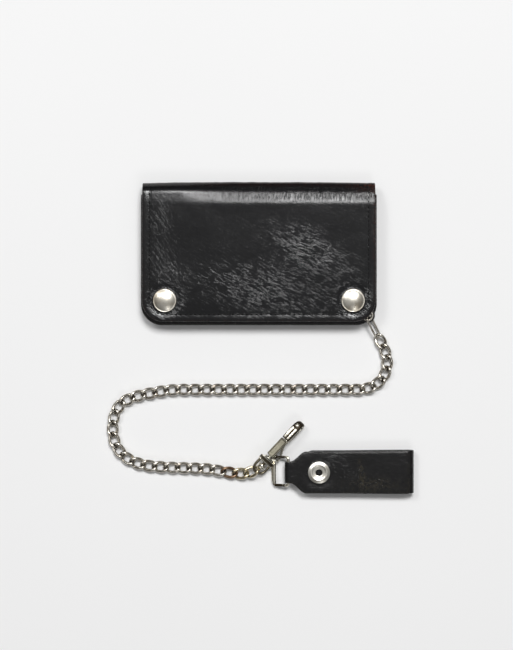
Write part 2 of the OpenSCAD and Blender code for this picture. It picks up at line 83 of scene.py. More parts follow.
# ---- lights and floor ----
world = bpy.data.worlds.new("studio")
bpy.context.scene.world = world
world.use_nodes = True
sky = world.node_tree
toward = sky.nodes.new("ShaderNodeTexCoord")
parts = sky.nodes.new("ShaderNodeSeparateXYZ")
fade = sky.nodes.new("ShaderNodeMapRange")
fade.interpolation_type = "SMOOTHSTEP"
sky_fade = {"From Min": 0.4, "From Max": 0.9, "To Min": 0.05, "To Max": 0.3}  # brighter towards the zenith
for key, value in sky_fade.items():
    fade.inputs[key].default_value = value
sky.links.new(toward.outputs["Generated"], parts.inputs[0])
sky.links.new(parts.outputs["Z"], fade.inputs["Value"])
sky.nodes["Background"].inputs["Color"].default_value = (1, 1, 1, 1)
sky.links.new(fade.outputs["Result"], sky.nodes["Background"].inputs["Strength"])


def softbox(name, place, size, power, target=(0, -0.04, 0)):
    light = bpy.data.lights.new(name, "AREA")
    light.shape = "RECTANGLE"
    light.size, light.size_y = size
    light.energy = power
    o = bpy.data.objects.new(name, light)
    bpy.context.collection.objects.link(o)
    o.location = place
    o.rotation_euler = (Vector(target) - Vector(place)).to_track_quat("-Z", "Y").to_euler()
    return o


softbox("key", (0.35, 1.3, 2.9), (1.1, 0.8), 75)
softbox("side", (-1.4, 1.25, 2.4), (0.8, 0.8), 18)
softbox("front", (0.6, -1.9, 2.2), (0.7, 0.7), 6)

floor = bpy.data.meshes.new("floor")
floor.from_pydata([(-3, -3, 0), (3, -3, 0), (3, 3, 0), (-3, 3, 0)], [], [(0, 1, 2, 3)])
floor = bpy.data.objects.new("floor", floor)
bpy.context.collection.objects.link(floor)
floor.location.z = cad_box[0][2] - 0.0001
bpy.context.scene.view_settings.view_transform = "Standard"


# ---- node materials ----
class Paint:
    """A material whose nodes are made by short calls."""

    def __init__(self, name, **base):
        self.material = bpy.data.materials.new(name)
        self.material.use_nodes = True
        self.tree = self.material.node_tree
        self.shader = self.tree.nodes["Principled BSDF"]
        self.set(**base)

    def set(self, **inputs):
        for key, value in inputs.items():
            self.feed(self.shader.inputs[key.replace("_", " ")], value)

    def feed(self, socket, value):
        if isinstance(value, bpy.types.NodeSocket):
            self.tree.links.new(value, socket)
        elif isinstance(value, tuple) and len(value) == 3 and socket.type == "RGBA":
            socket.default_value = (*value, 1)
        else:
            socket.default_value = value

    def node(self, kind, out=0, props=(), **inputs):
        n = self.tree.nodes.new("ShaderNode" + kind)
        for key, value in dict(props).items():
            setattr(n, key, value)
        for key, value in inputs.items():
            self.feed(n.inputs[key.replace("_", " ")], value)
        return n.outputs[out]

    def math(self, op, a, b=0.0, clamp=False):
        n = self.tree.nodes.new("ShaderNodeMath")
        n.operation, n.use_clamp = op, clamp
        self.feed(n.inputs[0], a)
        self.feed(n.inputs[1], b)
        return n.outputs[0]

    def plus(self, a, b, clamp=False):
        return self.math("ADD", a, b, clamp)

    def times(self, a, b, clamp=False):
        return self.math("MULTIPLY", a, b, clamp)

    def mix(self, fac, a, b):
        n = self.tree.nodes.new("ShaderNodeMix")
        n.data_type = "RGBA"
        self.feed(n.inputs[0], fac)
        self.feed(n.inputs[6], a)
        self.feed(n.inputs[7], b)
        return n.outputs[2]

    def steps(self, fac, low, high, to=(0.0, 1.0)):
        return self.node("MapRange", props={"interpolation_type": "SMOOTHSTEP"}, Value=fac,
                         From_Min=low, From_Max=high, To_Min=to[0], To_Max=to[1])

    def attribute(self, name, out="Vector"):
        n = self.tree.nodes.new("ShaderNodeAttribute")
        n.attribute_name = name
        return n.outputs[out]

    def turned(self, vector, angle, scale):
        """The vector measured along and across an angle, in units of scale."""
        return self.node("Mapping", props={"vector_type": "TEXTURE"}, Vector=vector,
                         Rotation=(0, 0, math.radians(angle)), Scale=scale)

    def noise(self, vector, scale, detail=2.0, rough=0.5, distortion=0.0):
        return self.node("TexNoise", Vector=vector, Scale=scale, Detail=detail, Roughness=rough,
                         Distortion=distortion)

    def bump(self, height, strength=1.0, distance=MM):
        return self.node("Bump", Height=height, Strength=strength, Distance=distance)


def streaks(p, flat, angle, width, length, seed):
    """Fine creases that run at an angle, as a height from 0 to 1."""
    wave = p.noise(p.turned(flat, angle, (length, width, 1 / seed)), 1.0, 2.0, 0.5, 0.4)
    ridge = p.math("ABSOLUTE", p.math("SUBTRACT", wave, 0.5))
    return p.math("SUBTRACT", 1.0, p.times(ridge, 11.0, clamp=True))


def leather_paint(name, dark, warm, rough, grain=0.016, crease=0.1, gloss_spread=0.05, scuff=0.008):
    """Leather: pebble grain, creases where the masks say, polish and wear. masks holds red: diagonal
    creases, green: steep creases, blue: creases across the fold, alpha: worn edge. grain, crease and scuff
    are heights in mm."""
    p = Paint(name, Specular_IOR_Level=0.4)
    flat = p.attribute("flat")
    masks = p.tree.nodes.new("ShaderNodeAttribute")
    masks.attribute_name = "masks"
    split = p.tree.nodes.new("ShaderNodeSeparateColor")
    p.feed(split.inputs[0], masks.outputs["Color"])
    red, green, blue = split.outputs
    worn = masks.outputs["Alpha"]
    cells = p.node("TexVoronoi", out="Distance", props={"feature": "DISTANCE_TO_EDGE"}, Vector=flat,
                   Scale=1.5)
    pebble = p.times(cells, 2.2, clamp=True)
    broad = p.noise(flat, 0.055, 3.0, 0.55)
    mottle = p.noise(flat, 0.35, 4.0, 0.6)
    cover = p.steps(p.noise(flat, 0.16, 2.0, 0.5), 0.3, 0.5)
    diagonal = p.times(p.times(streaks(p, flat, -31, 1.5, 9, 1), red), cover)
    steep = p.times(streaks(p, flat, -58, 1.5, 12, 2), green)
    across = p.times(streaks(p, flat, 86, 1.2, 8, 3), p.times(blue, 1.5))
    folds = p.plus(p.plus(diagonal, steep), across)
    height = p.plus(p.times(pebble, grain), p.times(folds, -crease))
    height = p.plus(height, p.times(mottle, 0.014))
    scuffs = p.plus(streaks(p, flat, -38, 0.55, 5, 5), streaks(p, flat, 75, 0.6, 3, 7))
    height = p.plus(height, p.times(scuffs, scuff))
    p.set(Normal=p.bump(height))
    level = p.plus(p.times(broad, gloss_spread),
                   p.times(mottle, gloss_spread * 0.6))
    level = p.plus(level, p.times(blue, 0.05))
    p.set(Roughness=p.plus(level, rough - gloss_spread * 0.8, clamp=True))
    tone = p.mix(p.steps(mottle, 0.35, 0.7), dark, tuple(c * 1.5 for c in dark))
    tone = p.mix(p.times(p.steps(p.noise(flat, 0.6, 3.0), 0.4, 0.6), worn, clamp=True), tone, warm)
    p.set(Base_Color=tone)
    return p.material


def nickel_paint(name, light, warm, rough, stain=0.5, darkening_at=0.5, scale=300.0):
    """Worn nickel plate: warm stains, fine scratches, and a dark mix for dirt and painted shade where the
    darkening attribute is high.
    """
    p = Paint(name, Metallic=1.0)
    spot = p.node("TexCoord", out="Object")
    cloud = p.noise(spot, scale, 4.0, 0.6)
    fine = p.noise(spot, scale * 5, 3.0, 0.7)
    grime = p.attribute("grime", "Fac")
    soiled_and_shaded = p.steps(p.plus(grime, p.times(p.math("SUBTRACT", cloud, 0.5), 0.7)),
                     darkening_at - 0.2, darkening_at + 0.3)
    tone = p.mix(p.times(p.steps(cloud, 0.4, 0.7), stain), light, warm)
    # the dark brown mix paints dirt and shade together, stronger where the attribute is high
    p.set(Base_Color=p.mix(soiled_and_shaded, tone, (0.045, 0.034, 0.022)))
    level = p.plus(p.times(fine, 0.14), rough - 0.07)
    p.set(Roughness=p.plus(level, p.times(soiled_and_shaded, 0.3), clamp=True))
    p.set(Normal=p.bump(p.times(fine, 0.03), 0.7))
    return p.material


def weave_paint(name, tone, pitch):
    p = Paint(name, Roughness=0.85)
    spot = p.node("TexCoord", out="Object")
    a = p.node("TexWave", out="Fac", Vector=spot, Scale=314 / pitch / 10, Distortion=0.3)
    b = p.node("TexWave", out="Fac", props={"bands_direction": "Y"}, Vector=spot, Scale=314 / pitch / 10,
               Distortion=0.3)
    both = p.times(a, b)
    p.set(Base_Color=p.mix(both, tuple(c * 0.5 for c in tone), tone), Normal=p.bump(both, 0.5, 0.0001))
    return p.material


def thread_paint(name, tone):
    p = Paint(name, Roughness=0.7, Specular_IOR_Level=0.2)
    spot = p.node("TexCoord", out="Object")
    twist = p.noise(spot, 2600.0, 2.0)
    p.set(Base_Color=p.mix(twist, tone, tuple(c * 2.2 for c in tone)), Normal=p.bump(twist, 0.5, 0.0001))
    return p.material


paper = Paint("paper", Roughness=0.9)
cloudy = paper.noise(paper.node("TexCoord", out="Object"), 3.0)
paper.set(Base_Color=paper.mix(cloudy, (0.84, 0.84, 0.84), (0.87, 0.87, 0.87)))
floor.data.materials.append(paper.material)
flap_black = leather_paint("flap_leather", (0.0045, 0.0045, 0.005), (0.05, 0.017, 0.012), 0.185, crease=0.065,
                           gloss_spread=0.03, scuff=0.001)
strap_black = leather_paint("strap_leather", (0.005, 0.0048, 0.005), (0.04, 0.034, 0.02), 0.22, 0.012, 0.12,
                            0.035)
lining_black = leather_paint("lining_leather", (0.016, 0.0155, 0.015), (0.03, 0.024, 0.02), 0.55, 0.03, 0.04)
thread = thread_paint("thread", (0.006, 0.006, 0.006))
tape = weave_paint("zip_tape", (0.02, 0.02, 0.02), 0.6)
brass = nickel_paint("zip_brass", (0.42, 0.34, 0.2), (0.2, 0.15, 0.08), 0.35)
chain_nickel = nickel_paint("chain_nickel", (0.62, 0.59, 0.53), (0.36, 0.3, 0.23), 0.26, 0.7)
rusty_nickel = nickel_paint("rusty_nickel", (0.3, 0.2, 0.13), (0.1, 0.05, 0.03), 0.4, 0.95)
golden_nickel = nickel_paint("golden_nickel", (0.6, 0.53, 0.38), (0.4, 0.33, 0.2), 0.28, 0.8)
cap_nickel = nickel_paint("cap_nickel", (0.66, 0.63, 0.56), (0.46, 0.4, 0.31), 0.33, 0.9, scale=160.0)
ring_nickel = nickel_paint("ring_nickel", (0.72, 0.7, 0.64), (0.5, 0.47, 0.4), 0.34, 0.6)
clasp_nickel = nickel_paint("clasp_nickel", (0.6, 0.58, 0.51), (0.42, 0.39, 0.31), 0.27, 0.6)
gate_nickel = nickel_paint("gate_nickel", (0.24, 0.225, 0.175), (0.12, 0.11, 0.08), 0.45, 0.9, scale=1500.0)
arch_nickel = nickel_paint("arch_nickel", (0.16, 0.14, 0.1), (0.05, 0.04, 0.025), 0.35, 0.9)
nose_nickel = nickel_paint("nose_nickel", (0.85, 0.81, 0.7), (0.62, 0.57, 0.46), 0.24, 0.5)


# ---- meshes ----
def unit(v):
    return v / np.linalg.norm(v, axis=-1, keepdims=True)


def run_along(path):
    """How far along a path each of its points is."""
    return np.concatenate([[0], np.cumsum(np.linalg.norm(np.diff(path, axis=0), axis=1))])


def along_path(s, run, path):
    """The points of a path where its length is s; run says how far along its own points are."""
    return np.column_stack([np.interp(s, run, column) for column in np.asarray(path, float).T])


def arc_points(x, y, r, degrees):
    return [(x + r * math.cos(a), y + r * math.sin(a)) for a in np.radians(degrees)]


def pose(points, origin, heading=0.0, pitch=0.0, roll=0.0):
    """Points turned by roll about X, raised by pitch, turned by heading about Z, then moved to origin."""
    h, p, r = (math.radians(a) for a in (heading, -pitch, roll))
    turn_x = np.array([[1, 0, 0], [0, math.cos(r), -math.sin(r)], [0, math.sin(r), math.cos(r)]])
    turn_y = np.array([[math.cos(p), 0, math.sin(p)], [0, 1, 0], [-math.sin(p), 0, math.cos(p)]])
    turn_z = np.array([[math.cos(h), -math.sin(h), 0], [math.sin(h), math.cos(h), 0], [0, 0, 1]])
    return np.asarray(points, float) @ (turn_z @ turn_y @ turn_x).T + np.asarray(origin, float)


def mesh(name, points, faces, paint, attributes=None):
    data = bpy.data.meshes.new(name)
    data.from_pydata((np.asarray(points, float) * MM).tolist(), [], faces)
    for key, value in (attributes or {}).items():
        value = np.asarray(value, np.float32)
        kind = {1: "FLOAT", 3: "FLOAT_VECTOR", 4: "FLOAT_COLOR"}[1 if value.ndim == 1 else value.shape[1]]
        field = {"FLOAT": "value", "FLOAT_VECTOR": "vector", "FLOAT_COLOR": "color"}[kind]
        data.attributes.new(key, kind, "POINT").data.foreach_set(field, value.ravel())
    data.polygons.foreach_set("use_smooth", [True] * len(data.polygons))
    data.materials.append(paint)
    data.set_sharp_from_angle(angle=math.radians(48))
    o = bpy.data.objects.new(name, data)
    bpy.context.collection.objects.link(o)
    return o


def grid_faces(rows, columns, closed_rows=False, closed_columns=True, first=0):
    faces = []
    for i in range(rows if closed_rows else rows - 1):
        for k in range(columns if closed_columns else columns - 1):
            a, b = first + i * columns, first + (i + 1) % rows * columns
            l = (k + 1) % columns
            faces.append((a + k, a + l, b + l, b + k))
    return faces


def tube(path, widths, heights, sides=14, up=(0, 0, 1), closed=False, power=2.0):
    """Points and faces of a tube along a path. up is one direction or one for each point; a section is an
    oval, or squarer when power is higher."""
    path = np.asarray(path, float)
    n = len(path)
    along = unit((np.roll(path, -1, 0) - np.roll(path, 1, 0)) if closed else np.gradient(path, axis=0))
    side = unit(np.cross(np.broadcast_to(np.asarray(up, float), along.shape), along))
    top = np.cross(along, side)
    a = (np.arange(sides) + 0.5) * 2 * math.pi / sides
    c, s = (np.sign(f) * np.abs(f) ** (2 / power) for f in (np.cos(a), np.sin(a)))
    w, h = np.broadcast_to(widths, n) / 2, np.broadcast_to(heights, n) / 2
    across, upright = (w[:, None] * c)[..., None], (h[:, None] * s)[..., None]
    points = path[:, None] + across * side[:, None] + upright * top[:, None]
    faces = grid_faces(n, sides, closed)
    if not closed:
        faces += [tuple(range(sides))[::-1], tuple((n - 1) * sides + k for k in range(sides))]
    return points.reshape(-1, 3), faces


def lathe(profile, sides=64, bored=False):
    """Points and faces of a turned shape. profile is [(radius, height)] from the bottom up, or right round a
    bored shape's wall, outside first."""
    a = np.arange(sides) * 2 * math.pi / sides
    points = np.array([[r * np.cos(a), r * np.sin(a), np.full(sides, z)] for r, z in profile])
    points = points.transpose(0, 2, 1).reshape(-1, 3)
    faces = grid_faces(len(profile), sides, bored)
    if not bored:
        faces += [tuple(range(sides))[::-1], tuple((len(profile) - 1) * sides + k for k in range(sides))]
    return points, faces


def at(shape, x, y, z=0.0):
    return shape[0] + np.array([x, y, z]), shape[1]


def joined(*shapes):
    points, faces, first = [], [], 0
    for p, f in shapes:
        points.append(np.asarray(p, float))
        faces += [tuple(i + first for i in face) for face in f]
        first += len(p)
    return np.concatenate(points), faces


def rounded_box(lo, hi, r=0.3, n=3):
    """A box with rounded edges, as points and faces."""
    lo, hi = np.array(lo, float), np.array(hi, float)
    c, half = (lo + hi) / 2, (hi - lo) / 2
    r = min(r, *(half * 0.98))
    ticks = [np.concatenate([-h + r * (1 - np.cos(np.linspace(0, math.pi / 2, n))), [0.0],
                             h - r * (1 - np.cos(np.linspace(math.pi / 2, 0, n)))]) for h in half]
    points, faces = [], []
    for axis in range(3):
        u, v = [k for k in range(3) if k != axis]
        for sign in (-1, 1):
            first = len(points)
            for a in ticks[u]:
                for b in ticks[v]:
                    q = np.zeros(3)
                    q[axis], q[u], q[v] = sign * half[axis], a, b
                    core = np.clip(q, -half + r, half - r)
                    d = q - core
                    points.append(c + core + d / np.linalg.norm(d) * r)
            m = len(ticks[v])
            for i in range(len(ticks[u]) - 1):
                for k in range(m - 1):
                    j = first + i * m + k
                    f = (j, j + m, j + m + 1, j + 1)
                    faces.append(f[::-1] if (sign > 0) == (axis == 1) else f)
    shared, index = np.unique(np.round(points, 5), axis=0, return_inverse=True)
    return shared, [tuple(index.ravel()[i] for i in f) for f in faces]


def rounded(corners, step=1.5):
    """A closed polygon from corners given as (x, y, radius), with arcs where the radius is over 0."""
    points = []
    for before, (x, y, r), after in zip(corners[-1:] + corners[:-1], corners, corners[1:] + corners[:1]):
        here = np.array([x, y], float)
        if r <= 0:
            points.append(here)
            continue
        u, w = (unit(np.array(c[:2], float) - here) for c in (before, after))
        half = math.acos(u @ w) / 2
        centre = here + unit(u + w) * r / math.sin(half)
        first, last = here + u * r / math.tan(half) - centre, here + w * r / math.tan(half) - centre
        start = math.atan2(first[1], first[0])
        turn = (math.atan2(last[1], last[0]) - start + math.pi) % (2 * math.pi) - math.pi
        for t in np.linspace(0, 1, max(3, math.ceil(abs(turn) * r / min(step, 1.0)) + 1)):
            points.append(centre + r * np.array([math.cos(start + turn * t), math.sin(start + turn * t)]))
    return spaced(points, step)


def spaced(points, step):
    """Adds points to a closed polygon so that no edge is longer than step."""
    out = []
    for a, b in zip(points, points[1:] + points[:1]):
        n = max(1, math.ceil(math.dist(a, b) / step))
        out += [np.array(a) + (np.array(b) - np.array(a)) * i / n for i in range(n)]
    return np.array([p for i, p in enumerate(out) if math.dist(p, out[i - 1]) > 1e-4])


def circle(x, y, r, step=1.0, clockwise=True):
    n = max(16, math.ceil(2 * math.pi * r / step))
    a = np.arange(n) * 2 * math.pi / n * (-1 if clockwise else 1)
    return np.column_stack([x + r * np.cos(a), y + r * np.sin(a)])


def inset(loop, d):
    """The polygon moved inwards by d; counter-clockwise loops shrink, clockwise ones grow."""
    before, after = loop - np.roll(loop, 1, 0), np.roll(loop, -1, 0) - loop
    n1, n2 = (np.stack([-e[:, 1], e[:, 0]], 1) / np.linalg.norm(e, axis=1)[:, None] for e in (before, after))
    n = n1 + n2
    n /= np.linalg.norm(n, axis=1)[:, None]
    return loop + n * (d / np.maximum((n * n1).sum(1), 0.5))[:, None]


def edge_distance(points, loops):
    best = np.full(len(points), 1e9)
    for loop in loops:
        a, b = loop, np.roll(loop, -1, 0)
        for p, q in zip(a, b):
            d = q - p
            t = np.clip(((points - p) @ d) / max(d @ d, 1e-12), 0, 1)
            best = np.minimum(best, np.linalg.norm(points - p - t[:, None] * d, axis=1))
    return best


def inside(points, loop):
    x, y = points[:, 0], points[:, 1]
    hit = np.zeros(len(points), bool)
    for (x0, y0), (x1, y1) in zip(loop, np.roll(loop, -1, 0)):
        cross = (y0 > y) != (y1 > y)
        with np.errstate(divide="ignore", invalid="ignore"):
            hit ^= cross & (x < (x1 - x0) * (y - y0) / (y1 - y0) + x0)
    return hit


def shell(name, loops, z0, z1, paint, r=0.3, grid=1.5, top=None, bottom=None, bend=None, masks=None,
          grime=None, rings=3):
    """A flat sheet: outer loop first, then holes, with edges rounded by r. top and bottom give heights to
    add at flat points, masks and the darkening for dirt and shade give what the paint reads there, and bend
    turns flat points into places."""
    r = min(r, (z1 - z0) / 2 - 0.01)
    loops = [np.asarray(l, float) for l in loops]
    inner = [inset(l, r) for l in loops]
    lo, hi = loops[0].min(0), loops[0].max(0)
    gx = np.arange(lo[0] + grid / 2, hi[0], grid)
    gy = np.arange(lo[1] + grid / 2, hi[1], grid * 0.87)
    X, Y = np.meshgrid(gx, gy)
    X[1::2] += grid / 2
    spots = np.stack([X.ravel(), Y.ravel()], 1)
    keep = inside(spots, inner[0])
    for hole in inner[1:]:
        keep &= ~inside(spots, hole)
    spots = spots[keep]
    spots = spots[edge_distance(spots, inner) > grid * 0.45]
    flat2 = np.concatenate(inner + [spots])
    edges, first = [], 0
    for l in inner:
        edges += [(first + i, first + (i + 1) % len(l)) for i in range(len(l))]
        first += len(l)
    verts, _, tris, source, _, _ = delaunay_2d_cdt([Vector(p) for p in flat2.tolist()], edges, [], 1, 1e-5)
    flat2 = np.array([v[:] for v in verts])
    order = {s[0]: i for i, s in enumerate(source) if s}
    if len(loops) > 1:
        middles = np.array([flat2[list(t)].mean(0) for t in tris])
        drop = np.zeros(len(tris), bool)
        for hole in inner[1:]:
            drop |= inside(middles, hole)
        tris = [t for t, d in zip(tris, drop) if not d]
    m = len(flat2)
    points = [np.column_stack([flat2, np.full(m, z1)]), np.column_stack([flat2, np.full(m, z0)])]
    kind = [np.ones(m), np.zeros(m)]
    faces = [tuple(t) for t in tris] + [tuple(m + i for i in t)[::-1] for t in tris]
    total, first = 2 * m, 0
    for l in loops:
        n = len(l)
        top_ring = [order[first + i] for i in range(n)]
        bottom_ring = [m + i for i in top_ring]
        quarter = [math.pi / 2 * k / rings for k in range(rings)]
        levels = [(r * (1 - math.cos(a)), r * math.sin(a) - r, 1.0) for a in quarter[::-1]]
        levels += [(r * (1 - math.cos(a)), r - r * math.sin(a), 0.0) for a in quarter]
        last = top_ring
        for depth, dz, up in levels:
            ring = inset(l, depth)
            points.append(np.column_stack([ring, np.full(n, (z1 if up else z0) + dz)]))
            kind.append(np.full(n, up))
            this = list(range(total, total + n))
            faces += [(last[i], this[i], this[(i + 1) % n], last[(i + 1) % n]) for i in range(n)]
            last, total = this, total + n
        faces += [(last[i], bottom_ring[i], bottom_ring[(i + 1) % n], last[(i + 1) % n]) for i in range(n)]
        first += n
    points, kind = np.concatenate(points), np.concatenate(kind)
    flat = points.copy()
    if top is not None:
        points[:, 2] += kind * top(points[:, 0], points[:, 1])
    if bottom is not None:
        points[:, 2] += (1 - kind) * bottom(points[:, 0], points[:, 1])
    colour = np.zeros((len(points), 4)) if masks is None else masks(flat[:, 0], flat[:, 1])
    colour[:, 3] += np.exp(-edge_distance(flat[:, :2], loops) / 0.6) * 0.3
    fields = {"flat": flat, "masks": np.clip(colour, 0, 1)}
    if grime is not None:
        fields["grime"] = grime(flat[:, 0], flat[:, 1])
    if bend is not None:
        points = bend(points)
    return mesh(name, points, faces, paint, fields)


def stitches(name, path, pitch, surface, bend=None, length=2.3, radius=0.28, sunk=0.25):
    """A row of stitches along an open path of flat points."""
    path = np.asarray(path, float)
    run = run_along(path)
    ts = np.linspace(-0.5, 0.5, 7)
    lift = np.array([-0.5, -0.1, 0.12, 0.17, 0.12, -0.1, -0.5])
    taper = np.array([1.0, 1.7, 2.0, 2.0, 2.0, 1.7, 1.0])
    shapes = []
    for s in np.arange(pitch / 2, run[-1], pitch):
        u = s + ts * length
        xy = along_path(u, run, path)
        centre = np.column_stack([xy, surface(xy[:, 0], xy[:, 1]) - sunk + radius + lift])
        shapes.append(tube(centre, radius * taper, radius * taper * 0.85, 6))
    points, faces = joined(*shapes)
    if bend is not None:
        points = bend(points)
    return mesh(name, points, faces, thread)


def smooth(a, b, x):
    t = np.clip((np.asarray(x, float) - a) / (b - a), 0, 1)
    return t * t * (3 - 2 * t)


def bell(x, middle, width):
    """A soft bump of 1 where x is at the middle."""
    return np.exp(-((x - middle) / width) ** 2)


def lumps(x, y, size, seed):
    """Gentle unevenness from -1 to 1; each seed gives its own."""
    spots = zip(np.ravel(x), np.ravel(y))
    return np.array([noise.noise(Vector((a / size + seed * 17.3, b / size, seed * 3.1))) for a, b in spots])


def hill(x, y, cx, cy, rx, ry, turn=0.0):
    """A soft oval spot of 1 at its middle."""
    c, s = math.cos(math.radians(turn)), math.sin(math.radians(turn))
    u, v = (x - cx) * c + (y - cy) * s, -(x - cx) * s + (y - cy) * c
    return np.exp(-((u / rx) ** 2 + (v / ry) ** 2))


# ---- wallet: the outer leather ----
back_lo, back_hi = cad("back_panel")
flap_lo, flap_hi = cad("flap_cover")
thick = back_hi[2] - back_lo[2]
fold_r = (flap_hi[2] - back_lo[2]) / 2
y_fold = flap_hi[1]
arc = fold_r * math.pi / 2
body_w, flap_w, body_t = back_hi[0], flap_hi[0], flap_hi[2]
flap_bot, body_bot = flap_lo[1], back_lo[1]
corner = 13.5  # radius of the wallet's corners
seam_in = 4.6  # from the edge to the thread
snap_pad = 6.5  # radius of the flat leather under a snap
snap_x, snap_y = (sum(cad("snap_cap_right")) / 2)[:2]


def round_fold(points, side):
    """Flat points to the wallet's shape. side is 1 for the flap and -1 for the back; z is the height over
    that side's outer face."""
    x, v, h = points.T
    t = np.clip(v - y_fold, 0, None) / fold_r
    beyond = v > y_fold
    y = np.where(beyond, y_fold + (fold_r + h) * np.sin(t), v)
    z = np.where(beyond, (fold_r + h) * np.cos(t), fold_r + h)
    bow = 0.35 * (x / flap_w) ** 2 * smooth(y_fold - 6, y_fold + 7, y)
    return np.column_stack([x, y - bow, fold_r + side * z])


def side_distance(x, v, w, bottom):
    """How far inside the U of the two sides and the bottom with its round corners a flat point is."""
    dx, dy = w - np.abs(x), v - bottom
    corner_d = corner - np.hypot(np.clip(corner - dx, 0, None), np.clip(corner - dy, 0, None))
    return np.where((dx < corner) & (dy < corner), corner_d, np.minimum(dx, dy))


def seam_shape(d, depth=0.16):
    """The stitched rim: a bead along the edge, a groove under the thread, and a pillowed field inside it."""
    return 0.05 * bell(d, 2.1, 1.2) - depth * bell(d, seam_in, 0.62) + 0.15 * smooth(seam_in, seam_in + 9, d)


def fold_dip(x, v):
    """The flap slopes down before it turns round the fold."""
    depth = 0.45 + 1.25 * smooth(-66, -6, x)
    return depth * smooth(y_fold - 7.5, y_fold + 4, v) * (1 - smooth(y_fold + 5, y_fold + 10.5, v))


def flap_under(x, v):
    return -fold_dip(x, v) * smooth(y_fold - 2, y_fold + 1, v)


def flap_top(x, v):
    h = seam_shape(side_distance(x, v, flap_w, flap_bot))
    h += 0.2 * lumps(x, v, 30, 1) + 0.05 * lumps(x, v, 9, 2)
    r = np.hypot(np.abs(x) - snap_x, v - snap_y)
    h -= 0.5 * bell(r, 8.2, 1.6)
    h -= (h + 0.05) * (1 - smooth(snap_pad, snap_pad + 2, r))
    h += 0.3 * hill(x, v, 68, -34, 3.2, 9, -14) - fold_dip(x, v)
    return h - 0.1 * smooth(y_fold - 5, y_fold + 3, v) * lumps(x * 1.6, v * 0.3, 5, 5)


def flap_masks(x, v):
    """Where the flap is creased and worn."""
    along_fold = smooth(y_fold - 8, y_fold - 2, v) * (1 - smooth(y_fold + 4, y_fold + 8, v))
    m = np.zeros((len(x), 4))
    m[:, 0] = hill(x, v, 34, 0, 24, 10, -30) + 0.95 * hill(x, v, 8, -26, 40, 15, -10) + 0.15
    m[:, 1] = hill(x, v, -58, -12, 9, 18, 25) + 0.5 * hill(x, v, -62, 20, 8, 14) + 0.1
    m[:, 2] = along_fold * smooth(-60, 0, x) + 0.06
    m[:, 0] += 0.7 * bell(np.hypot(np.abs(x) - snap_x, v - snap_y), 10, 3)
    m[:, 3] = 0.6 * hill(x, v, 74, 44, 12, 7) + 0.5 * hill(x, v, 76, 20, 3, 40)
    m[:, 3] += 0.25 * smooth(y_fold + 3, y_fold + 10, v)
    return m


def plain_masks(level):
    return lambda x, v: np.column_stack([np.full((len(x), 3), level), np.zeros(len(x))])


def pocket_outline(w, bottom, top, r=corner, step=1.5):
    """A panel with a square top and round bottom corners; w is half its width."""
    return rounded([(-w, bottom, r), (w, bottom, r), (w, top, 0), (-w, top, 0)], step)


def dress(o, body, slot, *nodes):
    """The piece rides on a body and stands for CAD nodes, which it hides. slot is not used. A body given as
    (first, second, start, end) is not ridden on: the piece's transform is only baked in place."""
    if isinstance(body, tuple):
        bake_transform(o)
    else:
        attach(o, body)
    if nodes:
        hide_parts(*nodes)
    return o


def sewn_line(w, bottom, top, r, inset_d, step=0.7):
    """The path of a seam down one side, along the bottom and up the other; w is half the panel's width."""
    loop = pocket_outline(w - inset_d, bottom + inset_d, top, r - inset_d, step)
    last = int(np.argmin(np.hypot(loop[:, 0] - (w - inset_d), loop[:, 1] - top)))
    first = int(np.argmin(np.hypot(loop[:, 0] + (w - inset_d), loop[:, 1] - top)))
    return np.concatenate([loop[first:], loop[:last + 1]])


v_end = y_fold + arc
lap = 0.6  # how far the two skins lap past each other on the fold's crown
stitch_pitch = 3.0
fold_back = (0, y_fold * MM, 0)
fold_crown = (0, (y_fold + fold_r) * MM, fold_r * MM)
fold_front = (0, y_fold * MM, body_t * MM)
on_flap = ("spine", "flap", fold_crown, fold_front)
on_back = ("wallet_back", "spine", fold_back, fold_crown)
flap_bend = functools.partial(round_fold, side=1)
back_bend = functools.partial(round_fold, side=-1)
flap_loop = pocket_outline(flap_w, flap_bot, v_end + lap, step=1.2)
flap_skin = shell("flap_skin", [flap_loop], -thick, 0, flap_black, r=0.6, grid=1.2, top=flap_top,
                  bottom=flap_under, bend=flap_bend, masks=flap_masks)
dress(flap_skin, on_flap, "outer_leather", "flap_cover")
flap_seam = sewn_line(flap_w, flap_bot, v_end - 1, corner, seam_in)
row = stitches("flap_stitches", flap_seam, stitch_pitch, flap_top, flap_bend)
dress(row, on_flap, "thread", "flap_stitching")


def back_height(x, v):
    """The back's seam groove, with the rest a little below the CAD's face."""
    return 0.5 * seam_shape(side_distance(x, v, body_w, body_bot), 0.3) - 0.15


step_y = back_hi[1]
back_loop = rounded([(-body_w, body_bot, corner), (body_w, body_bot, corner), (body_w, step_y, 1.3),
                     (flap_w, step_y + 0.2, 0), (flap_w, v_end + lap, 0), (-flap_w, v_end + lap, 0),
                     (-flap_w, step_y + 0.2, 0), (-body_w, step_y, 1.3)], 1.2)
back_skin = shell("back_skin", [back_loop], -thick, 0, flap_black, r=0.6, grid=1.6, top=back_height,
                  bend=back_bend, masks=plain_masks(0.35))
dress(back_skin, on_back, "outer_leather", "back_panel", "spine_leather")
back_seam = sewn_line(body_w, body_bot, v_end - 1, corner, seam_in)
dress(stitches("back_stitches", back_seam, stitch_pitch, back_height, back_bend), on_back, "thread")

# ---- wallet: linings, pockets and the coin pocket's front ----
eye_lo, eye_hi = cad("ring_eyelet")
eyelet = (eye_lo + eye_hi) / 2
notch_r = 8.5  # radius of the corner cut-out round the chain's ring
welt_w = 5  # width of the seam's walls


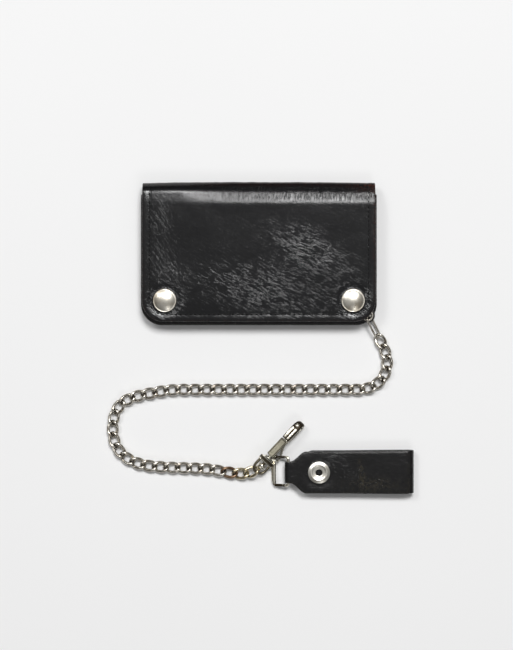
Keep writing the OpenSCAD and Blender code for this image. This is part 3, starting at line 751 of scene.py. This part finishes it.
def notched_outline(w, bottom, top, r):
    """A pocket outline whose low right corner is cut out round the chain's ring."""
    dx, dy = w - eyelet[0], eyelet[1] - bottom
    a0 = math.atan2(-dy, -math.sqrt(notch_r ** 2 - dy ** 2))
    a1 = math.atan2(math.sqrt(notch_r ** 2 - dx ** 2), dx)
    bite = [(eyelet[0] + notch_r * math.cos(a), eyelet[1] + notch_r * math.sin(a), 0)
            for a in np.linspace(a0 + 2 * math.pi, a1, 16)]
    return rounded([(-w, bottom, r), *bite, (w, top, 0), (-w, top, 0)])


def lining(name, loops, node, body, paint=lining_black, slot="lining_leather", r=0.25, grid=2.5):
    """A flat layer of leather that stands for one CAD node and fills its height."""
    lo, hi = cad(node)
    uneven = lambda x, y: 0.05 * (lumps(x, y, 18, lo[2]) - 1)
    o = shell(name, loops, lo[2], hi[2], paint, r=r, grid=grid, top=uneven, masks=plain_masks(0.3))
    dress(o, body, slot, node)
    return o


def box_outline(node, r=0.0):
    lo, hi = cad(node)
    return pocket_outline(hi[0], lo[1], hi[1], r)


def wall_strips(node, r):
    """The outlines of a seam's wall: a U, parted where the corner is cut out for the ring."""
    lo, hi = cad(node)
    share = np.linspace(0, 1, 260)
    sides = []
    for depth in (0, welt_w):
        line = sewn_line(hi[0], lo[1], hi[1], r, depth, 1.2)
        run = run_along(line)
        sides.append(along_path(share * run[-1], run, line))
    a, b = sides
    clear = np.minimum(*(np.hypot(p[:, 0] - eyelet[0], p[:, 1] - eyelet[1]) for p in (a, b))) > notch_r
    strips, start = [], None
    for i, free in enumerate([*clear, False]):
        if free and start is None:
            start = i
        if not free and start is not None:
            strips.append(spaced([*a[start:i], *b[start:i][::-1]], 1.6))
            start = None
    return strips


lining("back_inside", [box_outline("back_lining", corner - 1.5)], "back_lining", "wallet_back")
for node in ("edge_welt", "coin_gusset"):
    lo, hi = cad(node)
    for k, strip in enumerate(wall_strips(node, corner - 0.5)):
        o = shell(f"{node}_{'ab'[k]}", [strip], lo[2], hi[2], lining_black, r=0.3, grid=2.5)
        dress(o, "wallet_back", "lining_leather", *([node] if k == 0 else []))
lo, hi = cad("inner_panel")
divider = notched_outline(hi[0], lo[1], hi[1], corner - 0.5)
lining("money_divider", [divider], "inner_panel", "wallet_back")
zip_lo, zip_hi = cad("zip_tapes")
zip_x, zip_y, zip_half = zip_hi[0] - 4, (zip_lo[1] + zip_hi[1]) / 2, 4.2
window = rounded([(-zip_x, zip_y - zip_half, 1), (-zip_x, zip_y + zip_half, 1), (zip_x, zip_y + zip_half, 1),
                  (zip_x, zip_y - zip_half, 1)])
lo, hi = cad("coin_front")
front_z = hi[2]
coin_loop = notched_outline(hi[0], lo[1], hi[1], corner - 0.5)
lining("coin_face", [coin_loop, window], "coin_front", "wallet_back", strap_black,
       "outer_leather", grid=2.0)
for level in ("back", "middle", "front"):
    node = f"card_pocket_{level}"
    lo, hi = cad(node)
    mouth, thumb = hi[1], 5
    dips = [(side * hi[0] / 2 + x, mouth - math.sqrt(max(thumb ** 2 - x ** 2, 0)), 0)
            for side in (1, -1) for x in np.linspace(thumb + 0.1, -thumb - 0.1, 17)]
    loop = rounded([(-hi[0], lo[1], 4), (hi[0], lo[1], 4), (hi[0], mouth, 0), *dips, (-hi[0], mouth, 0)], 1.2)
    lining(f"card_sheet_{level}", [loop], node, "wallet_back", grid=2.0)
    seam = sewn_line(hi[0], lo[1], mouth - 1, 4, 1.6)
    row = stitches(f"card_stitches_{level}", seam, 2.4, lambda x, y: hi[2] - 0.05 + 0 * x, length=1.8,
                   radius=0.2)
    dress(row, "wallet_back", "thread")
lining("flap_inside", [box_outline("flap_lining", corner - 1)], "flap_lining", "flap")
lining("note_pocket", [box_outline("flap_pocket", 4)], "flap_pocket", "flap")
lo, hi = cad("body_stitching")
seam = sewn_line(hi[0], lo[1], hi[1], corner - 3, 0.3)
clear = np.hypot(*(seam - eyelet[:2]).T) > notch_r + 1
parts = np.split(np.arange(len(seam)), np.where(np.diff(clear))[0] + 1)
for k, part in enumerate(seam[i] for i in parts if clear[i[0]]):
    o = stitches(f"body_stitches_{'ab'[k]}", part, stitch_pitch, lambda x, y: front_z + 0 * x)
    dress(o, "wallet_back", "thread", *(["body_stitching"] if k == 0 else []))
window_row = inset(window, 1.6)
row = stitches("zip_stitches", [*window_row, window_row[0]], 2.4, lambda x, y: front_z + 0 * x, length=1.8,
               radius=0.2)
dress(row, "wallet_back", "thread")

# ---- zip ----
tape_x, tape_w, tape_gap = zip_x + 4, 9, 0.2
for k, y in enumerate((zip_y + tape_gap, zip_y - tape_gap - tape_w)):
    tape_loop = rounded([(-tape_x, y, 0), (tape_x, y, 0), (tape_x, y + tape_w, 0),
                         (-tape_x, y + tape_w, 0)], 3)
    o = shell(f"zip_tape_{'ab'[k]}", [tape_loop], zip_lo[2], zip_hi[2], tape, r=0.15, grid=3)
    dress(o, "wallet_back", "zip_tape", *(["zip_tapes"] if k == 0 else []))


def tooth(x, side, z):
    """One zip tooth: a narrow neck on the tape and a rounded head that reaches past the middle."""
    neck_y, head_y = zip_y + side * 1.4, zip_y + side * 0.1
    neck = rounded_box((x - 0.45, neck_y - 1, z), (x + 0.45, neck_y + 1, z + 0.8), 0.25, 2)
    head = rounded_box((x - 0.75, head_y - 0.55, z), (x + 0.75, head_y + 0.55, z + 0.9), 0.35, 2)
    return joined(neck, head)


teeth_lo, teeth_hi = cad("zip_teeth")
tooth_pitch = 2.0
places = np.arange(teeth_lo[0] + 0.8, teeth_hi[0], tooth_pitch)
teeth = joined(*(tooth(x, 1 if k % 2 else -1, teeth_lo[2]) for k, x in enumerate(places)))
dress(mesh("zip_teeth_row", *teeth, brass), "wallet_back", "zip_metal", "zip_teeth")
stop_lo, stop_hi = cad("zip_stops")
stops = [rounded_box((x, stop_lo[1], stop_lo[2]), (x + 1.5, stop_hi[1], stop_hi[2]), 0.4)
         for x in (stop_lo[0], stop_hi[0] - 1.5)]
dress(mesh("zip_end_stops", *joined(*stops), brass), "wallet_back", "zip_metal", "zip_stops")

lo, hi = cad("zip_slider")
mid = (lo + hi) / 2
arch_top, wall_y = hi[2] - 0.85, 2.7
slider = [rounded_box((lo[0], mid[1] + y - 0.3, lo[2]), (hi[0], mid[1] + y + 0.3, arch_top), 0.25)
          for y in (-wall_y, wall_y)]
slider.append(rounded_box((lo[0], lo[1], arch_top - 0.55), (hi[0], hi[1], arch_top), 0.27))
post = [(0.8, arch_top - 0.2), (0.8, hi[2] - 0.2), (0.7, hi[2] - 0.05), (0.4, hi[2]), (0.02, hi[2])]
slider.append(at(lathe(post, 20), mid[0], mid[1]))
dress(mesh("slider_body", *joined(*slider), brass), "zip_slider", "zip_metal", "zip_slider")

lo, hi = cad("zip_pull")
pull_x, pull_y, eye_end = mid[0], mid[1], lo[0] + 2.4
waist = [(eye_end + 13 * t, 1.6 - 0.35 * math.sin(math.pi * t)) for t in np.linspace(0.14, 0.86, 12)]
pull_side = arc_points(eye_end, 0, 2.4, range(180, 40, -12)) + waist
pull_side += arc_points(pull_x, 0, 2.2, range(132, 0, -12))
pull_loop = [(x, pull_y - y) for x, y in pull_side] + [(pull_x + 2.2, pull_y)]
pull_loop += [(x, pull_y + y) for x, y in pull_side[:0:-1]]
holes = [circle(pull_x, pull_y, 0.88, 0.4), circle(eye_end, pull_y, 1.1, 0.4)]
o = shell("pull_tab", [spaced(pull_loop, 0.6), *holes], lo[2], hi[2], brass, r=0.2, grid=0.8)
dress(o, "zip_pull", "zip_metal", "zip_pull")

# ---- snaps ----
def cap_profile(r, base, rise):
    """A snap cap from its rolled rim to its crown."""
    rim = [(r - 0.5, base), (r - 0.12, base + 0.08), (r, base + 0.28), (r - 0.15, base + 0.5)]
    dome_r = (r * r + rise * rise) / (2 * rise)
    centre = base + rise - dome_r
    return rim + [(x, centre + math.sqrt(dome_r ** 2 - x * x)) for x in np.linspace(r - 0.7, 0.02, 22)]


for side, name in ((-1, "left"), (1, "right")):
    node = f"snap_cap_{name}"
    lo, hi = cad(node)
    points, faces = lathe(cap_profile((hi[0] - lo[0]) / 2, lo[2] - 0.25, hi[2] - lo[2] + 0.25), 96)
    dents = 0.03 * lumps(points[:, 0], points[:, 1], 3.2, 11 + side) * (points[:, 2] > lo[2])
    points[:, 2] += dents
    # the rolled rim is painted darker
    grime = 0.75 * smooth(6.6, 7.5, np.hypot(points[:, 0], points[:, 1]))
    o = mesh(f"cap_{name}", *at((points, faces), side * snap_x, snap_y), cap_nickel, {"grime": grime})
    dress(o, "flap", "snap_nickel", node)


def socket(r, bore, z0, z1):
    """A snap's socket: a turned cup whose mouth faces down, with a rolled lip and a spring ring inside."""
    return lathe([(r - 0.3, z0), (r, z0 + 0.3), (r, z1 - 0.3), (r - 0.3, z1), (0.02, z1), (0.02, z1 - 0.5),
                  (bore, z1 - 0.6), (bore - 0.15, z0 + 0.9), (bore + 0.1, z0 + 0.6), (bore + 0.1, z0 + 0.35),
                  (bore + 0.4, z0)], 48, True)


def stud(r, z0, z1):
    """A snap's stud: a flange, a neck and a bulbed head."""
    return lathe([(r, z0), (r, z0 + 0.3), (r - 0.3, z0 + 0.5), (r * 0.55, z0 + 0.55), (r * 0.52, z0 + 1.3),
                  (r * 0.62, z0 + 1.6), (r * 0.6, z1 - 0.25), (r * 0.5, z1), (0.02, z1)], 40)


lo, hi = cad("snap_sockets")
sockets = [at(socket(6, 3.5, lo[2], hi[2]), side * snap_x, snap_y) for side in (-1, 1)]
dress(mesh("socket_pair", *joined(*sockets), cap_nickel), "flap", "snap_nickel", "snap_sockets")
lo, hi = cad("snap_studs")
studs = [at(stud(5, lo[2], hi[2]), side * snap_x, snap_y) for side in (-1, 1)]
dress(mesh("stud_pair", *joined(*studs), cap_nickel), "wallet_back", "snap_nickel", "snap_studs")

# ---- the chain's tab, eyelet and ring ----
lo, hi = cad("ring_tab")
tab_r = eyelet[1] - lo[1]
tab_back = 8  # how far the tab reaches into the wallet, along X and along Y
tab_loop = arc_points(*eyelet[:2], tab_r, range(225, 406, 12))
tab_loop += arc_points(eyelet[0] - tab_back, eyelet[1] + tab_back, tab_r, range(45, 226, 12))
tab_loops = [spaced(tab_loop, 1.2), circle(*eyelet[:2], 2.6, 0.8)]
o = shell("corner_tab", tab_loops, lo[2], hi[2], strap_black, r=0.4, grid=1.2)
dress(o, "wallet_back", "outer_leather", "ring_tab")
flange, bore = (eye_hi[0] - eye_lo[0]) / 2, 2.3
half_up = [(bore + 0.3, 0.3), (flange, 0.2), (flange, 0.12), (flange - 0.4, 0), (bore + 0.3, 0), (bore, 0.3)]
o = lathe([(r, eye_hi[2] - z) for r, z in half_up] + [(r, eye_lo[2] + z) for r, z in half_up[::-1]], 48, True)
dress(mesh("corner_eyelet", *at(o, *eyelet[:2]), chain_nickel), "wallet_back", "chain_nickel", "ring_eyelet")

chain_start, chain_z, pitch = np.array([76.2, -52.6, 3.3]), 2.3, 7.38
reach = chain_start - eyelet
span = np.linalg.norm(reach)
ring_w, ring_far = 2.7, span + 0.7
ring_wire, ring_tilt = 1.3, -52
path = arc_points(ring_far - ring_w, 0, ring_w, range(-90, 91, 12))
path += arc_points(ring_w, 0, ring_w, range(90, 271, 12))
points, faces = tube([(x, y, 0) for x, y in path], ring_wire, ring_wire, 14, closed=True)
ring_heading = math.degrees(math.atan2(reach[1], reach[0]))
points = pose(points, eyelet, ring_heading, math.degrees(math.asin(reach[2] / span)), ring_tilt)
grime = 0.35 + 0.15 * np.sin(points[:, 0] * 2)
o = mesh("link_to_wallet", points, faces, chain_nickel, {"grime": grime})
dress(o, "wallet_ring", "chain_nickel", "wallet_ring")

# ---- chain: the same route as the CAD links, as [heading, how many] ----
route = [[-62, 1], [-70, 1], [-90, 1], [-115, 1], [-140, 1], [-165, 1], [-180, 16], [-176, 1], [-170, 2],
         [-165, 1], [-155, 1], [-126, 1], [-102, 1], [-90, 1], [-75, 1], [-55, 1], [-33, 1], [-18, 1],
         [-8, 1], [-4, 1], [-2, 3], [-5, 1], [-10, 2], [0, 1], [20, 1]]
headings = [heading for heading, count in route for _ in range(count)]
links = len(headings)
first_dip = math.degrees(math.asin((chain_start[2] - chain_z) / pitch))
rises = [-first_dip] + [0] * (links - 3) + [7, 14]
rolls = [0] * (links - 1) + [-12]
link_a, link_b, wire, twist = 4.8, 2.9, 1.95, 45
link_clear = 0.03  # how much thinner than the CAD's the links are, so that they don't touch


def link_line(n):
    """The centre line of a curb link: an oval with full sides, twisted along its length."""
    t = np.arange(n) * 2 * math.pi / n
    c, s = (np.sign(f) * np.abs(f) ** (2 / 2.4) for f in (np.cos(t), np.sin(t)))
    turn = np.radians(-twist * c)
    return np.column_stack([link_a * c, link_b * s * np.cos(turn), link_b * s * np.sin(turn)])


line = link_line(52)
along = unit(np.roll(line, -1, 0) - np.roll(line, 1, 0))
outward = unit(line - (line * along).sum(1)[:, None] * along)
link_points, link_faces = tube(line, wire - link_clear, wire - link_clear, 16, up=np.cross(outward, along),
                               closed=True)
centres, start = [], chain_start
for heading, climb in zip(headings, rises):
    h, p = math.radians(heading), math.radians(climb)
    end = start + pitch * np.array([math.cos(h) * math.cos(p), math.sin(h) * math.cos(p), math.sin(p)])
    centres.append((start + end) / 2)
    start = end
lines = [pose(line, c, h, p, r) for c, h, p, r in zip(centres, headings, rises, rolls)]
inner = np.repeat(line, 16, 0)
facing_in = ((inner - link_points) * unit(inner + 1e-6)).sum(1) / (wire / 2)
for i in range(links):
    points = pose(link_points, centres[i], headings[i], rises[i], rolls[i])
    near = np.full(len(points), 9.0)
    for j in (i - 1, i + 1):
        if 0 <= j < links:
            near = np.minimum(near, np.linalg.norm(points[:, None] - lines[j][None], axis=2).min(1))
    underside = smooth(0.2, 1, (centres[i][2] - points[:, 2]) / 2)
    # dirt, and painted shade where links touch, on their inner sides and underneath
    grime = 0.12 + 0.95 * (1 - smooth(1.0, 2.1, near)) + 0.3 * np.clip(facing_in, 0, 1) + 0.25 * underside
    paint = rusty_nickel if i == links - 3 else golden_nickel if i > links - 3 else chain_nickel
    o = mesh(f"link_{i + 1:02d}", points, link_faces, paint, {"grime": grime})
    dress(o, f"links_{i // 3 + 1:02d}", "chain_nickel", *([f"chain_{i // 3 + 1:02d}"] if i % 3 == 0 else []))

# ---- clasp, in its own frame: X along it from the collar, Z up from its axis ----
clasp_at, clasp_heading, clasp_lean, eye_roll = (5.2, -131.7, 4.8), 47, 20, -24


def in_clasp(shape, lean=clasp_lean):
    return pose(shape[0], clasp_at, clasp_heading, 0, -lean), shape[1]


def turned_on_x(profile, sides=40, bored=False):
    """A turned shape whose axis is X; profile is [(radius, place along X)]."""
    points, faces = lathe(profile, sides, bored)
    return points[:, [2, 0, 1]], faces


def along_curve(knots, n, *others):
    """A smooth curve of n points through knots, with other values carried along it."""
    knots = np.asarray(knots, float)
    run = run_along(knots)
    columns = [*knots.T, *(np.asarray(o, float) for o in others)]
    s = np.linspace(0, run[-1], n)
    out = []
    for column in columns:
        slope = np.gradient(column, run)
        k = np.clip(np.searchsorted(run, s, "right") - 1, 0, len(run) - 2)
        width = run[k + 1] - run[k]
        t = (s - run[k]) / width
        out.append((2 * t ** 3 - 3 * t ** 2 + 1) * column[k] + (t ** 3 - 2 * t ** 2 + t) * width * slope[k]
                   + (3 * t ** 2 - 2 * t ** 3) * column[k + 1] + (t ** 3 - t ** 2) * width * slope[k + 1])
    return np.column_stack(out[:3]), *out[3:]


def solid(name, shapes, paint, grime=0.15, crevices=(), lean=clasp_lean, framed=False, body="clasp",
          node=None):
    """Clasp metal: shapes in the clasp's frame, with dirt and painted shade near the crevices, given as
    (point, reach), and darker round the nose's bars when framed."""
    points, faces = joined(*shapes)
    dirt_and_shade = np.full(len(points), grime, float)
    # dirt and painted shade, darkest at each crevice
    for spot, size in crevices:
        dirt_and_shade = np.maximum(dirt_and_shade, 0.9 - np.linalg.norm(points - spot, axis=1) / size * 0.6)
    # the hook is darkened round the nose's bars
    if framed:
        dirt_and_shade = np.maximum(dirt_and_shade, 0.8 * smooth(17, 18, points[:, 0]) * smooth(-3, 0, points[:, 2]))
    o = mesh(name, *in_clasp((points, faces), lean), paint, {"grime": dirt_and_shade})
    dress(o, body, "clasp_nickel", *([node] if node else []))


eye_r, eye_wire, loop_x, bar_x0, bar_x1 = 4.4, 1.7, -6, -2.3, 1.2
shank = np.linspace(bar_x0 + 0.4, loop_x + 0.5, 4)
loop = [(x, eye_r) for x in shank] + arc_points(loop_x, 0, eye_r, range(90, 271, 9))
loop = [(x, y, 0) for x, y in loop + [(x, -eye_r) for x in shank[::-1]]]
loop = tube(loop, eye_wire, eye_wire, 16)
solid("eye_loop", [loop], arch_nickel, 0.35, [((loop_x, 0, 0), 2)], eye_roll, body="eye")
beads = [rounded_box((bar_x0, -5.6, -1.6), (bar_x0 + 1.2, 5.6, 1.8), 0.6, 5),
         rounded_box((bar_x1 - 1, -5.2, -1.5), (bar_x1, 5.2, 1.75), 0.5, 5)]
solid("eye_beads", beads, nose_nickel, 0.1, lean=eye_roll, body="eye", node="swivel_eye")
channel = rounded_box((bar_x0 + 0.8, -5.4, -1.2), (bar_x1 - 0.5, 5.4, 1.3), 0.2, 3)
solid("eye_channel", [channel], arch_nickel, 0.5, lean=eye_roll, body="eye")

collar_r, hook_r, nose_z, spine_z, tip_x, hook_mid = 3.1, 3.2, 2.2, -4.2, 28.6, -1.0
knots = [(2, -1.4, -1), (3, -3, -1.6), (3.9, -4.2, -2.4), (4.6, -4.5, -3.6), (5.2, -4.2, -4.6),
         (6.2, -3.8, -4.9), (7.8, -3.2, -4.9), (11, -1.6, -4.4), (15, 0, spine_z), (20, 0, spine_z)]
knots += [(x, 0, z) for x, z in arc_points(tip_x, hook_mid, hook_r, range(-90, 91, 18))]
knots += [(25, 0, nose_z), (21, 0, nose_z), (17.9, 0, nose_z)]
widths = [1.5] * 3 + [1.4] * 4 + [1.7, 2.4, 3.6] + list(np.linspace(4, 5.2, 11)) + [5.2] * 3
heights = [1.5] + [1.4] * 7 + [1.6, 2] + [2.2] * 11 + [2, 1.9, 1.7]
path, widths, heights = along_curve(knots, 90, widths, heights)
ahead = unit(np.gradient(path, axis=0))
hook = tube(path, widths, heights, 22, up=unit(np.cross(ahead, (0, 1, 0))), power=2.8)
collar = turned_on_x([(2.6, 1.42), (collar_r - 0.1, 1.48), (collar_r, 1.65), (collar_r, 2.1),
                      (collar_r - 0.2, 2.3), (2.6, 2.42), (1.8, 2.6)])
tongue = rounded_box((2, -1.2, -1.6), (6.2, 1.2, 1.6), 0.9, 5)
solid("hook_body", [hook, collar, tongue], clasp_nickel, 0.1, [((3.6, 0, 0), 2.6)], framed=True,
      node="clasp_hook")
head_r = 2.6
pin = turned_on_x([(head_r - 0.7, -6.8), (head_r - 0.2, -6.75), (head_r, -6.5), (head_r, -5.9),
                   (2.35, -5.65), (2.35, -5.35), (2.55, -5.1), (head_r, -4.9), (head_r, -4.2),
                   (head_r - 0.2, -4), (1, -3.9)])
solid("pin_head", [pin], nose_nickel, 0.0, [((-5.55, 0, 2.5), 1.2)])
solid("pin_shaft", [turned_on_x([(1, -4.2), (1, 1.5)], 24)], arch_nickel, 0.5)
bars = [rounded_box((18.6, y - 0.75, nose_z + 0.5), (27.4, y + 0.75, nose_z + 1.3), 0.25, 4)
        for y in (-1.2, 1.2)]
solid("nose_bars", bars, nose_nickel, 0.05)
dot = lathe([(1.3, 0), (1.25, 0.3), (1, 0.6), (0.55, 0.78), (0.02, 0.8)], 28)
solid("nose_rivet", [at(dot, 29.3, 0, nose_z + 0.95)], nose_nickel, 0)
pivot_x, pivot_z = 5.2, 0.6
pin_end = [(0.6, 2.5), (0.62, 2.6), (0.6, 2.8), (0.3, 2.95)]
points, faces = lathe([(r, -y) for r, y in pin_end[::-1]] + pin_end, 24)
rod = points[:, [0, 2, 1]] * [1, 1, -1] + [pivot_x, 0, pivot_z], faces
solid("gate_hinge_pin", [rod], nose_nickel, 0.1, node="gate_pin")
leaf = [(6.7 + 6 * t, 0, -0.1 + 0.7 * t - 0.5 * math.sin(math.pi * t)) for t in np.linspace(0, 1, 16)]
solid("leaf_spring", [tube(leaf, 1.2, 0.25, 8, power=6)], clasp_nickel, node="gate_spring")

plate_x0, plate_x1, plate_y, plate_z = 3.6, 17.4, 2.6, nose_z - 0.5
plate = rounded([(plate_x0, -plate_y, 0.5), (plate_x1, -plate_y, 0.9), (plate_x1, plate_y, 0.9),
                 (plate_x0, plate_y, 0.5)], 0.5)


def thumb_dish(x, y):
    """The gate's top is dished for the thumb and keeps a raised rim."""
    rim = np.minimum(np.minimum(x - plate_x0, plate_x1 - x), plate_y - np.abs(y))
    return -0.32 * smooth(0.35, 1.1, rim) - 0.12 * bell(x, 12.5, 2.5)


def rim_darkening(x, y):
    # darker along the long rims of the dish
    return 0.25 + 0.5 * bell(plate_y - np.abs(y), 0.75, 0.3)


o = shell("gate_plate", [plate], plate_z, plate_z + 1, gate_nickel, r=0.3, grid=0.4, top=thumb_dish,
          bend=lambda p: in_clasp((p, None))[0], grime=rim_darkening)
dress(o, "gate", "clasp_nickel", "clasp_gate")
lugs = [rounded_box((plate_x0, y - 0.55, -0.6), (6.8, y + 0.55, 2.3), 0.4, 4) for y in (-2.05, 2.05)]
solid("gate_lugs", lugs, gate_nickel, 0.35, body="gate")

# ---- the strap's ring ----
ring_at, ring_slope, ring_wide, ring_tall, ring_d = (10, -129.8, 1.9), 23, 9.5, 18, 1.8
corners = [(0, -ring_tall), (ring_wide, -ring_tall), (ring_wide, 0), (0, 0)]
rect = np.array(rounded([(x, y, 1.2) for x, y in corners], 0.6))
ends = smooth(0, 3.5, -rect[:, 1]) * smooth(0, 3.5, ring_tall + rect[:, 1])
broad = bell(rect[:, 0], 0, 0.8) * ends  # 1 along the bar that the hook hangs on, which is broader
rect3 = np.column_stack([rect[:, 0] - 0.5 * broad, rect[:, 1], 0 * broad])
points, faces = tube(rect3, ring_d + 1.2 * broad, ring_d, 16, closed=True, power=2.2)
# painted shade: the thin bars are painted darker than the broad one
thin_bar_shade = 0.75 * (1 - np.repeat(broad, 16)) * (points[:, 0] < ring_wide - 2)
streak = 0.5 * lumps(points[:, 0] * 2.5, points[:, 1], 2.5, 41)
# a painted dark reflection streak along the inner side of the broad bar
reflection_streak = 0.6 * np.clip(1 - np.abs(points[:, 0] - 0.9) / 0.4, 0, 1)
o = mesh("square_ring", pose(points, ring_at, 0, ring_slope), faces, nose_nickel,
         {"grime": np.clip(0.05 + thin_bar_shade + streak + reflection_streak, 0, 1)})
dress(o, "strap_ring", "clasp_nickel", "strap_ring")

# ---- strap: one strip from under the ring, round its bar, over the top, round the fold and back below ----
top_hi = cad("strap_leather")[1]
tail_lo, tail_hi = cad("strap_tail")
snap_lo, snap_hi = cad("strap_snap_ring")
strap_t, strap_w = tail_hi[2] - tail_lo[2], tail_hi[1] - tail_lo[1]
strap_y = (tail_lo[1] + tail_hi[1]) / 2
strap_snap_x = (snap_lo[0] + snap_hi[0]) / 2
strap_top, strap_low, fold_x = top_hi[2], tail_lo[2], top_hi[0]
ring_bar = np.array([ring_at[0] + ring_wide * math.cos(math.radians(ring_slope)),
                     ring_at[2] + ring_wide * math.sin(math.radians(ring_slope))])
wrap = ring_d / 2 + 0.15 + strap_t / 2
half_t = strap_t / 2
return_z = strap_top - 1.5 * strap_t - 0.05
fold_out = (strap_top - strap_low) / 2
neck_w, shoulder_x = 14, ring_bar[0] + 1
parted_x = ring_bar[0] + 9  # from here on the two layers lie flat on each other
side_view = [(cad("strap_return")[1][0], return_z), (parted_x, return_z)]
side_view += arc_points(*ring_bar, wrap, range(270, 89, -10))
side_view += [(parted_x, strap_top - half_t), (fold_x, strap_top - half_t)]
crown_at = len(side_view) - 1
side_view += arc_points(fold_x, strap_low + fold_out, fold_out - half_t, range(80, -91, -10))
side_view += [(tail_lo[0], strap_low + half_t)]
strip_run = run_along(side_view)
crown, strip_end = strip_run[crown_at], strip_run[-1]
fine_s = np.arange(0, strip_end, 0.25)
fine = along_path(fine_s, strip_run, side_view)
soften = np.hanning(15) / np.hanning(15).sum()
padded = np.pad(fine, ((7, 7), (0, 0)), mode="reflect", reflect_type="odd")
fine = np.column_stack([np.convolve(padded[:, k], soften, "valid") for k in (0, 1)])
ahead = unit(np.gradient(fine, axis=0))


def round_strap(p):
    """Flat strip points to the folded strap; x runs along the strip, z is the height over its middle."""
    s, y, h = p.T
    (px, pz), (ax, az) = (along_path(s, fine_s, path).T for path in (fine, ahead))
    return np.column_stack([px - az * h, y, pz + ax * h])


def strap_half(s):
    """Half the strip's width: a neck that flares in an S curve into the full width."""
    x = np.interp(s, fine_s, fine[:, 0])
    flare = (strap_w - neck_w) / 2
    t = np.clip((x - shoulder_x) / 10.5, 0, 1)
    return neck_w / 2 + flare * (1 - np.cos(math.pi * t)) / 2 + 0.4 * (smooth(40, 96, x) - 0.5)


def strip_outline(s0, s1, first_r, last_r, shift=0.0):
    """The outline of the strip from s0 to s1, with corners of radius first_r and last_r at its ends."""
    s = np.arange(s0, s1 + 0.01, 1.0)
    half = strap_half(s)
    for r, from_end in ((first_r, s - s0), (last_r, s[-1] - s)):
        half = half - r + np.sqrt(np.clip(r ** 2 - np.clip(r - from_end, 0, None) ** 2, 0, None))
    low = list(zip(s, strap_y + shift - half))
    return spaced(low + [(x, strap_y + shift + h) for x, h in zip(s[::-1], half[::-1])], 1.1)


def strap_field(s, y):
    """Waves in the strap: it sinks under the snap, and its edges curl down a little."""
    x = np.interp(s, fine_s, fine[:, 0])
    over = smooth(crown - (fold_x - 20), crown - (fold_x - 30), s) * (1 - smooth(crown - 2, crown + 2, s))
    edge = strap_half(s) - np.abs(y - strap_y)
    h = 0.12 * lumps(x, y, 12, 31) * over - 0.15 * np.exp(-edge / 1.2)
    r = np.hypot(x - strap_snap_x, y - strap_y)
    h -= over * 0.35 * bell(r, 8, 2)
    return h - over * (h + 0.1) * (1 - smooth(6.5, 7.6, r))


def strap_masks(s, y):
    """Where the strap is creased and worn."""
    x = np.interp(s, fine_s, fine[:, 0])
    m = np.full((len(s), 4), 0.25)
    m[:, 0] = 0.9 * hill(x, y, 43, -130, 10, 5, -20) + 0.2
    m[:, 1] = 0.9 * hill(x, y, 40, -127, 8, 6) + 0.15
    m[:, 3] = 0.9 * hill(x, y, 65.5, -139.5, 1.4, 7, 10) + 0.4 * hill(x, y, 72, -147, 16, 4)
    return m


strap_edge = 0.45  # radius of its edges, and how far its two halves lap past each other
strap_over = shell("strap_over", [strip_outline(0, crown + strap_edge, 5, 0)], -half_t, half_t, strap_black,
                   r=strap_edge, grid=1.2, top=strap_field, bend=round_strap, masks=strap_masks)
dress(strap_over, "strap", "outer_leather", "strap_leather", "strap_return")
strap_under = shell("strap_under", [strip_outline(crown - strap_edge, strip_end, 0, 6, 0.5)], -half_t, half_t,
                    strap_black, r=strap_edge, grid=1.5, bend=round_strap, masks=strap_masks)
fold_top, fold_low = ((fold_x * MM, strap_y * MM, z * MM) for z in (strap_top, strap_low))
dress(strap_under, ("strap", "strap_tail", fold_top, fold_low), "outer_leather", "strap_fold", "strap_tail")

r = (snap_hi[0] - snap_lo[0]) / 2
ring_top = [(r - 0.3, -0.25), (r, 0), (r, 0.25), (r - 0.3, 0.45), (r - 1.1, 0.5), (r - 1.5, 0.82),
            (r - 1.9, 0.9), (r - 2.5, 0.82), (r - 2.9, 0.55), (r - 3.6, 0.5), (2.4, 0.45), (2.1, 0.3),
            (2, -0.4), (2.4, -0.6)]
points, faces = lathe([(x, strap_top + z) for x, z in ring_top], 72, True)
# painted shade inside the ring's hollow
grime = 0.9 * (1 - smooth(1.9, 2.8, np.hypot(points[:, 0], points[:, 1]))) * (points[:, 2] < strap_top + 0.44)
o = mesh("strap_snap_top", *at((points, faces), strap_snap_x, strap_y), ring_nickel, {"grime": grime})
dress(o, "strap", "snap_nickel", "strap_snap_ring")
lo, hi = cad("strap_socket")
cup = socket(5.5, 3.3, lo[2], hi[2])
lo, hi = cad("strap_stud")
post = stud(5, lo[2], hi[2])
cap_top = cad("strap_cap")[1][2] + 0.1
back_cap = lathe([(0.02, 0), (r - 2.5, 0.02), (r - 1.2, 0.12), (r - 0.3, 0.45), (r, 0.75), (r - 0.2, cap_top),
                  (0.02, cap_top)], 64)
for name, shape, body, node in (("strap_socket_cup", cup, "strap", "strap_socket"),
                                ("strap_stud_post", post, "strap_tail", "strap_stud"),
                                ("strap_back_cap", back_cap, "strap_tail", "strap_cap")):
    dress(mesh(name, *at(shape, strap_snap_x, strap_y), cap_nickel), body, "snap_nickel", node)
